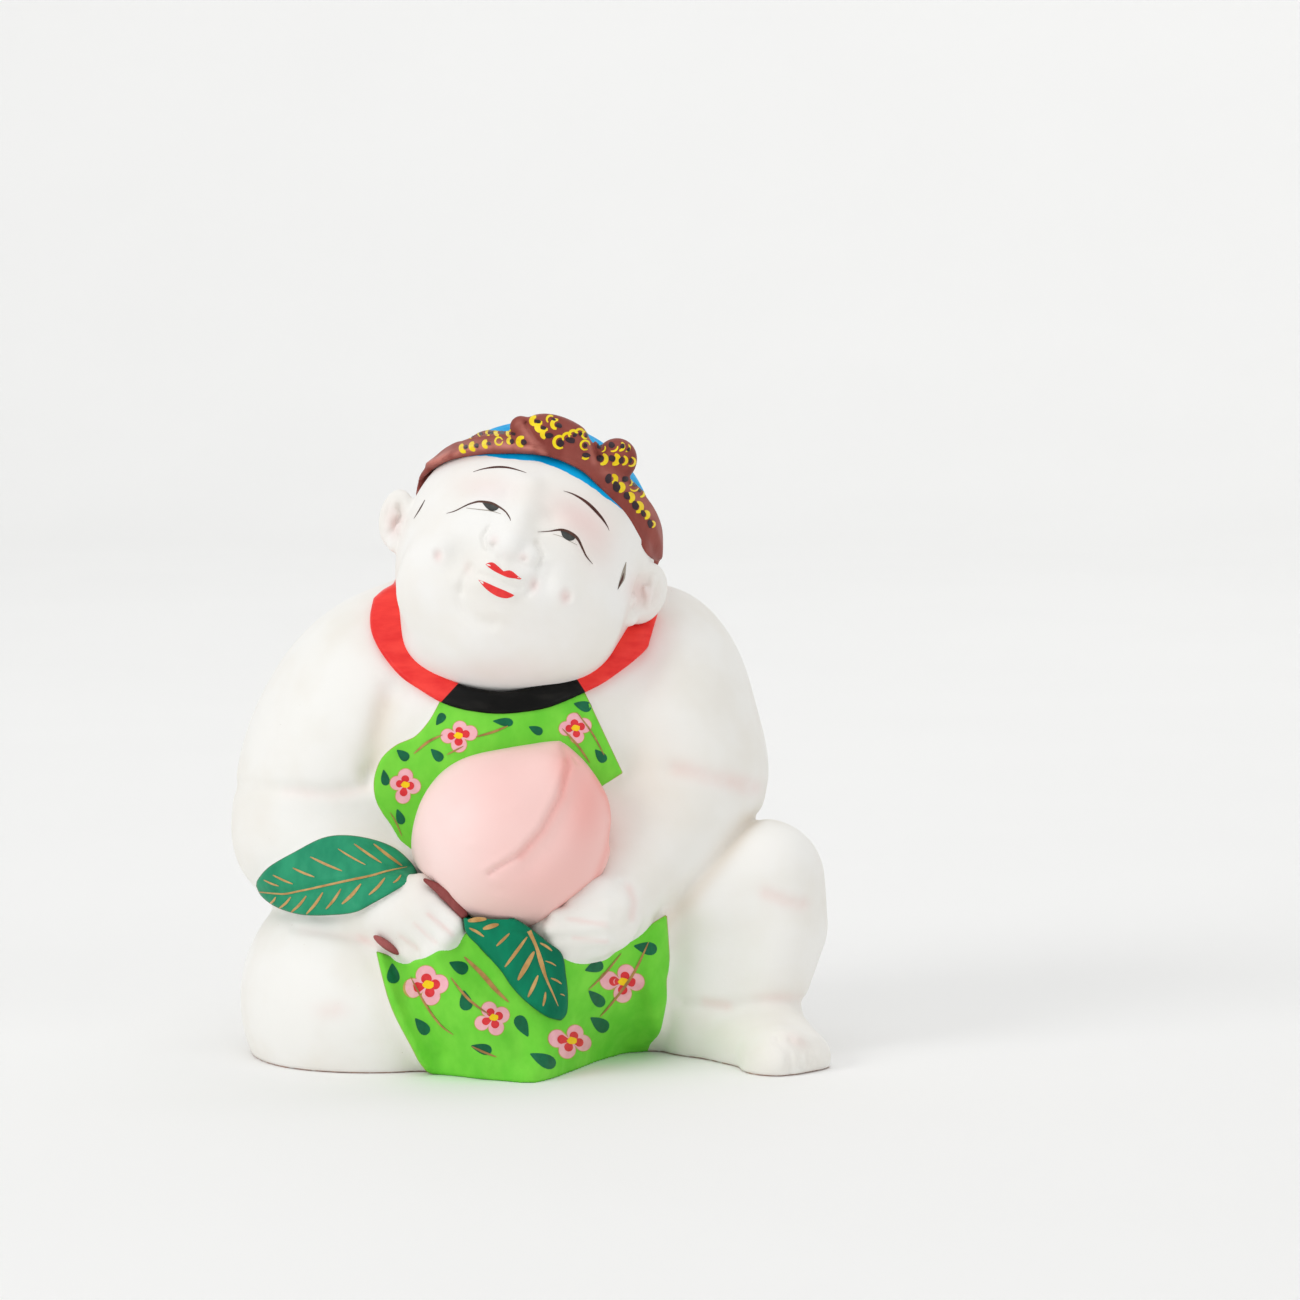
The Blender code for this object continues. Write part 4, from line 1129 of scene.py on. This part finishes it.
# ------------------------------------------------------------------ the painted face
on_head = field_of("head")
dark = film("brow_brown", rgb(66, 32, 26), rgb(88, 48, 40), 0.45)
lid_dark = film("lid_brown", rgb(70, 42, 34), rgb(96, 64, 54), 0.45)
iris_m = film("iris_grey", rgb(44, 46, 44), rgb(72, 74, 72), 0.35)
hair_m = film("hair_soft", rgb(150, 140, 128), rgb(176, 168, 156), 0.5)
lip_m = film("lip_red", rgb(244, 62, 60), rgb(228, 48, 50), 0.4)

brows = Paint()
brows.stroke([(473, 472, 0.3), (483, 469, 1.0), (495, 467.2, 1.9), (506, 467.4, 1.8), (516, 469.5, 1.2), (526.4, 472.9, 0.3)])
brows.stroke([(563.6, 491, 0.3), (572, 493.7, 1.2), (581, 498.5, 2.2), (588.5, 504, 2.9), (595.5, 510.8, 3.0), (602.5, 519, 2.2), (607.6, 527, 0.8), (609, 530.6, 0.3)])
brows.stroke([(425, 500, 0.5), (420, 509, 1.2), (414, 518.6, 0.3)])
brows.lay("brows", on_head, dark)

lids = Paint()
lids.stroke([(446.5, 513.4, 0.4), (455, 511, 1.0), (466.6, 505.2, 1.4), (473, 502.9, 1.7), (480, 501.6, 2.1), (490.7, 502.9, 2.3), (498, 506.3, 2.0), (505, 511.2, 1.5), (509.5, 517.3, 1.1), (510.6, 521, 0.4)])
lids.stroke([(537.5, 531.9, 0.3), (549, 531.3, 1.2), (556, 530.2, 1.8), (562, 529.9, 2.4), (569, 532.2, 2.9), (575.5, 536.5, 2.9), (579.4, 541.8, 2.5), (583, 549.6, 1.9), (586.6, 556.8, 1.4), (592.8, 564.3, 0.4)])
lids.lay("eyelid_lines", on_head, lid_dark, off=0.08)

lower = Paint()
lower.stroke([(466, 508, 0.3), (478, 509.4, 0.7), (490.7, 510.9, 0.8), (501, 514, 0.3)])
lower.stroke([(553, 534, 0.3), (562.6, 537, 0.7), (568.4, 540.4, 0.8), (577, 545, 0.3)])
lower.lay("lower_lids", on_head, hair_m, off=0.05)

iris = Paint()
iris.shape((482.4, 503.0, 0), (490, 503.2), (499.4, 507.6, 0), (496, 510.4), (490.8, 510.9), (486.2, 507.8))
iris.shape((560.4, 530.6, 0), (568, 531.8), (576.0, 537.2, 0), (573, 540.2), (568.2, 540.5), (563.0, 537.0))
iris.lay("irises", on_head, iris_m, off=0.06)

side_hair = Paint()
side_hair.stroke([(626, 562, 0.5), (624, 571, 3.4), (622.5, 578, 4.4), (620, 584, 2.8), (617.6, 589.5, 0.3)])
side_hair.lay("side_hair", on_head, hair_m, off=0.05)
side_dark = Paint()
side_dark.stroke([(623.4, 573, 0.3), (622.0, 579, 2.2), (619.8, 584, 1.6), (617.6, 589.5, 0.3)])
side_dark.lay("side_hair_dark", on_head, dark, off=0.08)

lips = Paint()
lips.shape((485.6, 564.4, 0), (488.7, 562.9), (492, 562.5), (495, 563.8), (497.6, 566.2), (500.4, 569.2), (502.8, 571.2), (504.6, 571.5), (507, 570.7), (509.6, 570.5),
           (512.4, 571.6), (514.8, 573.5), (517.6, 575.9), (521.3, 578.7, 0), (519.6, 579.4), (514.8, 578.4), (509.8, 577.8), (505.7, 576.6), (501, 574.5),
           (496.5, 572.3), (492.4, 569.9), (488.4, 567.0), per=3)
lips.shape((478.3, 579.7, 0), (483.7, 581.5), (488.7, 583.6), (495, 586.5), (501, 589), (507.3, 591.7), (514.3, 595.1, 0), (511.5, 597.0), (507.3, 598.1), (503.2, 597.9),
           (498.2, 596.6), (493.2, 594.1), (488.7, 591), (484.3, 587.1), (480.8, 583.0), per=3)
lips.lay("lips", on_head, lip_m)

# ------------------------------------------------------------------ the apron's flowers, leaves and stalks
CLOTH = ["bib", "skirt"]


def on_bib(p):
    return field_of("bib")(p)


def on_skirt(p):
    return field_of("skirt")(p)


pink_m = film("petal_pink", rgb(248, 188, 196), rgb(240, 170, 182), 0.45)
red_m = film("petal_red", rgb(232, 56, 62), rgb(214, 40, 50), 0.42)
yellow_m = film("flower_yellow", rgb(255, 216, 10), rgb(246, 196, 0), 0.42)
spot_m = film("spot_green", rgb(8, 108, 70), rgb(5, 92, 58), 0.42)
gold_m = film("stalk_gold", rgb(188, 144, 82), rgb(154, 112, 64), 0.36)
rim_m = film("petal_rim", rgb(206, 176, 96), rgb(190, 160, 84), 0.4)


def flower_ring(u, v, petals, size, count=88):
    """The rim round four overlapping round petals, seen from the middle of the flower."""
    ring = []
    for i in range(count):
        t = 2 * math.pi * i / count
        cu, cv = math.cos(t), math.sin(t)
        r = size * 0.62
        for k, (pu, pv) in enumerate(petals):
            s = size * (1 + 0.05 * math.sin(5.0 * k + u))
            along, aside = pu * cu + pv * cv, abs(pv * cu - pu * cv)
            if aside < s:
                r = max(r, along + math.sqrt(s * s - aside * aside))
        ring.append((u + r * cu, v + r * cv))
    return ring


FLOWERS = [  # surface, middle, petal radius, the four petal middles from the flower's
    ("bib", 458, 736, 7.3, ((-10, 0), (2, -8), (12, -3), (1, 8.5))), ("bib", 405, 785, 7.2, ((0.5, -9), (8, 1), (-2, 11), (-8, -2))),
    ("bib", 575, 728.5, 7.0, ((-9, 0), (-1, -8), (9, -3), (2, 8))), ("skirt", 428, 985, 9.5, ((-2, -9.5), (11, -1), (3, 11), (-15, 3))),
    ("skirt", 493, 1018, 7.5, ((-4, -8.5), (8.5, -3), (3, 9.5), (-11, 5))), ("skirt", 571, 1041, 8.3, ((4, -8), (12, 2), (-4, 9), (-14, -2.5))),
    ("skirt", 622.5, 982, 8.8, ((-13.5, -1.5), (3.5, -9), (13.5, 0), (0, 11.5)))]
for where, field in (("bib", on_bib), ("skirt", on_skirt)):
    rim, pink, red, yellow, spots, gold = Paint(), Paint(), Paint(), Paint(), Paint(), Paint()
    for kind, u, v, size, petals in FLOWERS:
        if kind != where:
            continue
        inner = [(pu * 0.66, pv * 0.66) for pu, pv in petals]
        rim.spot(flower_ring(u, v, petals, size + 0.7), 4)
        pink.spot(flower_ring(u, v, petals, size), 4)
        red.spot(flower_ring(u, v, inner, size * 0.54), 3)
        yellow.spot([(u + 0.5 + (size * 0.58 + 0.6 * math.sin(k * 2.0)) * math.cos(k / 14 * 2 * math.pi), v - 0.5 - (size * 0.46 + 0.4 * math.sin(k * 1.7)) * math.sin(k / 14 * 2 * math.pi)) for k in range(14)], 2)
    if where == "bib":
        leaves = [(440.5, 719, 13, 8, -55), (503.6, 722, 19, 8, 5), (536, 730, 14, 8, 25), (403, 755, 14, 9, 40), (437, 755, 15, 9, 45),
                  (385, 778, 15, 8, 80), (400, 817, 15, 8, 70), (583, 706, 17, 10, 15), (600.5, 756, 15, 9, 50)]
        stalks = [((414, 753.6), (428, 742), (442.6, 734.7), 2.6), ((476, 736.8), (493, 732), (507.8, 726), 2.4), ((446.8, 754.7), (456, 750), (463.6, 746), 1.6),
                  ((576.3, 712), (592, 733), (604, 755), 1.8), ((562, 728.4), (578, 746), (589.7, 762.8), 2.2), ((390, 812), (396, 822), (402, 836), 1.4)]
    else:
        leaves = [(393, 974, 19, 12, 85), (459, 967, 19, 12, 25), (465.5, 1001, 19, 12, 80), (422, 1026.5, 19, 11, 50), (482, 1048.6, 20, 10, 15),
                  (522.3, 1025.6, 22, 12, 242), (543.5, 1060, 26, 13, 25), (594.5, 967, 18, 11, -20), (596.5, 998.6, 20, 11, 45), (599.6, 1024, 20, 13, 35), (646, 948, 22, 12, 10)]
        stalks = [((410.8, 976.5), (425, 1003), (440, 1024), (453.7, 1034.7), 2.2), ((450.6, 977.6), (468, 999), (488.4, 1014.3), 2.6),
                  ((464, 957), (482, 974), (496, 990), (508.8, 1002), 5.0), ((472, 1046), (484, 1052), (496.5, 1057), 2.2),
                  ((621, 953), (604, 974), (588, 989.8), 2.0), ((648.6, 941.8), (634, 972), (614, 1000), (600, 1016.3), 2.8)]
    for u, v, length, wide, deg in leaves:
        c, s = math.cos(math.radians(deg)), math.sin(math.radians(deg))
        ring = []
        for k in range(20):
            t = 2 * math.pi * k / 20
            x = (math.cos(t) + 0.14 * max(math.cos(t), 0) ** 9) * length / 2
            y = math.sin(t) * wide / 2 * (1 - 0.42 * math.cos(t))
            ring.append((u - x * c - y * s, v - x * s + y * c))
        spots.spot(ring, 3)
    for s in stalks:
        gold.stroke(list(s[:-1]), s[-1], ends=0.12)
    rim.lay(where + "_petal_rims", field, rim_m, off=0.05)
    pink.lay(where + "_petals", field, pink_m, off=0.09)
    red.lay(where + "_petal_hearts", field, red_m, off=0.13)
    yellow.lay(where + "_stamens", field, yellow_m, off=0.17)
    spots.lay(where + "_leaf_spots", field, spot_m, off=0.09)
    gold.lay(where + "_stalks", field, gold_m, off=0.2)

# ------------------------------------------------------------------ veins of the two leaves
vein_m = film("vein_gold", rgb(206, 166, 104), rgb(176, 132, 76), 0.36)
veins = Paint()
veins.stroke([(259.5, 892, 1.2), (283, 894, 1.8), (300, 891, 2.0), (319, 887, 2.2), (346, 881, 2.4), (370, 876, 2.2), (388, 871, 1.8), (407, 867, 0.6)])
for s in (((276, 897), (269, 904), 2.2), ((291, 897), (279, 908.5), 2.4), ((306.5, 896), (291, 912.5), 2.6), ((323, 892.5), (306.5, 914), 2.8), ((341, 889), (326, 909), 2.6),
          ((361, 884), (342, 904), 3.4), ((385, 878), (369, 895), 2.8), ((401, 875), (393, 883), 2.0), ((264, 880), (279, 886), 1.8), ((273, 875), (293, 884), 2.0),
          ((293, 868), (314.5, 877), 2.2), ((310.5, 857), (342, 871), 2.4), ((338, 849), (365.5, 865), 1.8), ((354, 844), (381.5, 863), 2.4), ((373.5, 844), (402, 866), 3.0)):
    veins.stroke([s[0], ((s[0][0] + s[1][0]) / 2 + 0.6, (s[0][1] + s[1][1]) / 2 + 0.8), s[1]], s[2], ends=0.2)
veins.lay("leaf_1_veins", field_of("leaf_1"), vein_m, off=0.1)
veins = Paint()
veins.stroke([(529, 931, 4.6), (536, 946, 3.4), (541, 962, 5.0), (546, 978, 2.8), (553, 994, 1.8), (558, 1006, 0.6)])
for s in (((486.5, 919), (468, 921), 5.0), ((498.6, 924.5), (483, 929), 4.6), ((469.5, 928), (484, 936.5), 2.8), ((509.5, 933.5), (496.5, 946), 2.8), ((527, 937), (505, 967), 3.4),
          ((534, 951.5), (518, 980), 5.2), ((538, 975.5), (528, 997), 3.6), ((545.5, 992), (543, 1006), 2.6), ((540, 943), (552, 951), 2.4), ((545.5, 961), (556, 966), 1.5),
          ((551, 978), (561.5, 984), 2.0), ((478, 947), (489, 960), 1.2), ((560, 994), (564.5, 996), 1.2)):
    veins.stroke([s[0], ((s[0][0] + s[1][0]) / 2 + 0.5, (s[0][1] + s[1][1]) / 2 - 0.4), s[1]], s[2], ends=0.2)
veins.lay("leaf_2_veins", field_of("leaf_2"), vein_m, off=0.1)

# ------------------------------------------------------------------ the headband's tied-dye dots
on_band = field_of("band")
dot_black = film("dot_black", rgb(44, 30, 38), rgb(60, 42, 50), 0.4)
dot_yellow = film("dot_yellow", rgb(250, 226, 28), rgb(238, 204, 16), 0.4)
blacks, yellows = Paint(), Paint()


def dab(paint, u, v, wide, tall, deg=0.0):
    c, s = math.cos(math.radians(deg)), math.sin(math.radians(deg))
    ring = []
    for k in range(14):
        t = 2 * math.pi * k / 14
        x = math.cos(t) * wide / 2 * (1 + 0.1 * math.sin(3 * t + u))
        y = math.sin(t) * tall / 2 * (1 + 0.1 * math.cos(2 * t + v))
        ring.append((u + x * c - y * s, v + x * s + y * c))
    paint.spot(ring, 2)


def hook(paint, u, v, r, start, sweep, width, tall=1.0, deg=0.0):
    """A curled dab round a dot: an arc of radius r from start over sweep degrees."""
    c, s = math.cos(math.radians(deg)), math.sin(math.radians(deg))
    pts = []
    n = 7
    for k in range(n):
        t = math.radians(start + sweep * k / (n - 1))
        x, y = r * math.cos(t), r * tall * math.sin(t)
        pts.append((u + x * c - y * s, v + x * s + y * c))
    paint.stroke(pts, width, ends=0.4, gap=1.0)


for u, v, w, h, d in ((471.5, 435.8, 3.2, 2.6, 0), (481, 433.8, 3.4, 2.6, 0), (490.8, 432.5, 4.6, 3.4, 0), (502, 432.6, 4.6, 3.4, 0), (513.4, 433.8, 5.0, 3.6, 15),
                      (466, 447, 3.8, 4.6, 20), (476.8, 445.8, 4.4, 5.0, 20), (489.2, 443.8, 4.0, 3.2, 10), (512, 441.7, 4.2, 5.0, 0), (523.8, 442.6, 5.8, 5.8, 20),
                      (537.8, 421.7, 6.6, 3.8, 15), (543.6, 428, 5.4, 4.0, 20), (549, 435.6, 8.6, 5.4, 5), (553.6, 419.6, 4.6, 2.4, 15), (558.8, 425.6, 7.0, 4.6, 15),
                      (560.4, 443.2, 7.2, 7.2, 0), (570.5, 440.2, 10.0, 6.4, 15), (574.6, 435.2, 4.0, 4.4, 30), (580.4, 434, 3.4, 4.2, 20), (586.6, 435.2, 3.0, 5.6, 10), (585.2, 445.4, 4.0, 4.8, 0), (586, 455.2, 8.4, 4.8, 5),
                      (599.2, 446, 5.0, 6.2, 10), (611.6, 445.2, 6.4, 6.4, 20), (622.4, 446.2, 4.4, 5.6, 20), (628.4, 449.6, 2.8, 4.4, 30), (599.8, 458.4, 7.4, 7.4, 10),
                      (612, 458.4, 6.8, 6.6, 20), (621.2, 460.2, 5.0, 7.0, 10), (630.4, 460.8, 3.2, 5.8, 10),
                      (608.4, 478.7, 6.6, 10.2, 0), (616.2, 486.7, 7.6, 10.2, -15), (626.6, 495.8, 5.8, 8.4, -15), (635, 505.3, 6.6, 8.6, -20), (642.8, 513.3, 4.4, 6.8, -15), (649.7, 523.7, 5.0, 8.4, -10),
                      (625, 479.2, 6.4, 6.4, 30), (634.8, 484.4, 5.0, 5.0, 40), (639.6, 490.6, 3.4, 3.8, 40)):
    dab(blacks, u, v, w, h, d)

for u, v, r, start, sweep, width in (
        (471.5, 435.6, 3.0, 90, 190, 1.6), (481, 433.6, 3.0, 100, 190, 1.6), (489.6, 432.4, 3.2, 90, 190, 2.4), (498.8, 432.5, 3.2, 90, 190, 4.2), (510.6, 433.4, 3.2, 90, 190, 3.4),
        (464.6, 448, 3.6, 70, 180, 4.6), (474.8, 446.2, 3.6, 80, 180, 5.0), (487.2, 444, 3.2, 80, 190, 4.6), (499, 441.3, 3.8, 0, 340, 2.0), (511, 441.2, 3.0, 100, 170, 3.4), (522.6, 441.8, 4.4, 80, 210, 5.0),
        (535.6, 421, 4.0, 90, 190, 4.8), (541.6, 427, 4.2, 90, 190, 6.0), (547, 434, 4.6, 110, 170, 5.0), (550.6, 419.6, 3.8, 130, 180, 2.4), (556.6, 424.4, 4.4, 90, 200, 4.2),
        (560, 442.2, 6.0, 60, 250, 3.4), (567.6, 438, 4.8, 150, 170, 2.8), (573.4, 435, 4.4, 150, 190, 2.8), (579.6, 433.4, 4.2, 160, 190, 2.4), (585.6, 435, 3.6, 70, 230, 2.2),
        (585.2, 445.2, 4.6, 60, 300, 2.2), (584.6, 450.2, 8.0, 60, 50, 3.8), (601.6, 448, 3.8, 330, 120, 1.6), (612.6, 446.2, 5.2, 0, 110, 2.0), (619.2, 446.4, 4.4, 300, 150, 3.2), (625.6, 447.6, 4.0, 310, 140, 2.0),
        (601.2, 459, 5.2, 290, 170, 4.4), (613.2, 459, 5.0, 290, 170, 5.4), (622.2, 460.2, 4.4, 290, 160, 3.0), (630.6, 461.6, 4.4, 280, 200, 2.4),
        (612, 479, 3.8, 270, 180, 4.8), (618.8, 487.4, 4.0, 270, 180, 5.2), (628.4, 497.6, 4.2, 270, 170, 5.0), (636.8, 507, 4.8, 270, 190, 4.6), (644.6, 514.8, 3.6, 270, 180, 4.0), (651.4, 524.2, 3.2, 280, 160, 2.2),
        (629.2, 482.6, 3.0, 300, 150, 2.0), (634, 486.4, 4.6, 20, 130, 1.8), (640.6, 493.2, 3.6, 320, 140, 2.6)):
    hook(yellows, u, v, r, start, sweep, width)
blacks.lay("band_dots", on_band, dot_black, off=0.12)
yellows.lay("band_curls", on_band, dot_yellow, off=0.07)

# ------------------------------------------------------------------ floor, light and camera
def sweep(name, half, near, far, bend, top):
    """A pale floor that curves up into a backdrop."""
    line = [(near, 0.0), (far, 0.0)] + [(far + bend * math.sin(t), bend - bend * math.cos(t)) for t in (math.pi / 2 * k / 24 for k in range(1, 25))]
    line.append((far + bend, top))
    mesh = bpy.data.meshes.new(name)
    mesh.from_pydata([(x, y, z) for y, z in line for x in (-half, half)], [], [(2 * k, 2 * k + 1, 2 * k + 3, 2 * k + 2) for k in range(len(line) - 1)])
    mesh.shade_smooth()
    obj = bpy.data.objects.new(name, mesh)
    bpy.context.scene.collection.objects.link(obj)
    m = Mat(name + "_pale", roughness=0.7, specular=0.1)
    m.base(m.mix(m.range(m.noise(5.0, 2.0), 0.3, 0.7), rgb(246, 246, 245), rgb(245, 245, 244)))
    mesh.materials.append(m.m)
    return obj


floor = sweep("floor", 5.0, -3.6, 1.9, 1.0, 4.0)


def area_light(name, place, target, size, power, colour=(1.0, 1.0, 1.0)):
    data = bpy.data.lights.new(name, "AREA")
    data.shape = "RECTANGLE"
    data.size, data.size_y = size
    data.energy = power
    data.color = colour
    obj = bpy.data.objects.new(name, data)
    bpy.context.scene.collection.objects.link(obj)
    obj.location = place
    dx, dy, dz = (target[i] - place[i] for i in range(3))
    obj.rotation_euler = (math.atan2(math.hypot(dx, dy), -dz), 0.0, math.atan2(-dx, dy))
    return obj


area_light("key", (-2.6, -1.8, 1.7), (0, 0, 0.08), (1.7, 1.7), 35.0)
area_light("top", (-0.1, -0.9, 2.8), (0, 0.0, 0.0), (2.4, 1.6), 11.0)
area_light("fill", (2.4, -2.2, 1.0), (0, 0.0, 0.08), (1.6, 1.6), 9.0)
area_light("backdrop", (0.9, 0.9, 2.4), (0.6, 2.7, 0.8), (2.0, 1.2), 13.0)

world = bpy.data.worlds.new("studio")
bpy.context.scene.world = world
world.use_nodes = True
world.node_tree.nodes["Background"].inputs["Color"].default_value = (1.0, 1.0, 1.0, 1.0)
world.node_tree.nodes["Background"].inputs["Strength"].default_value = 0.64

bpy.context.scene.view_settings.view_transform = "Standard"

cam = bpy.data.cameras.new("camera")
cam.sensor_width = 36.0
cam.lens = EYE_SPAN / 1300.0 * 36.0
cam.clip_end = 50.0
cam_obj = bpy.data.objects.new("camera", cam)
bpy.context.scene.collection.objects.link(cam_obj)
cam_obj.location = tuple(c * MM for c in EYE)
cam_obj.rotation_euler = (math.pi / 2 - EYE_DROP, 0.0, 0.0)
bpy.context.scene.camera = cam_obj
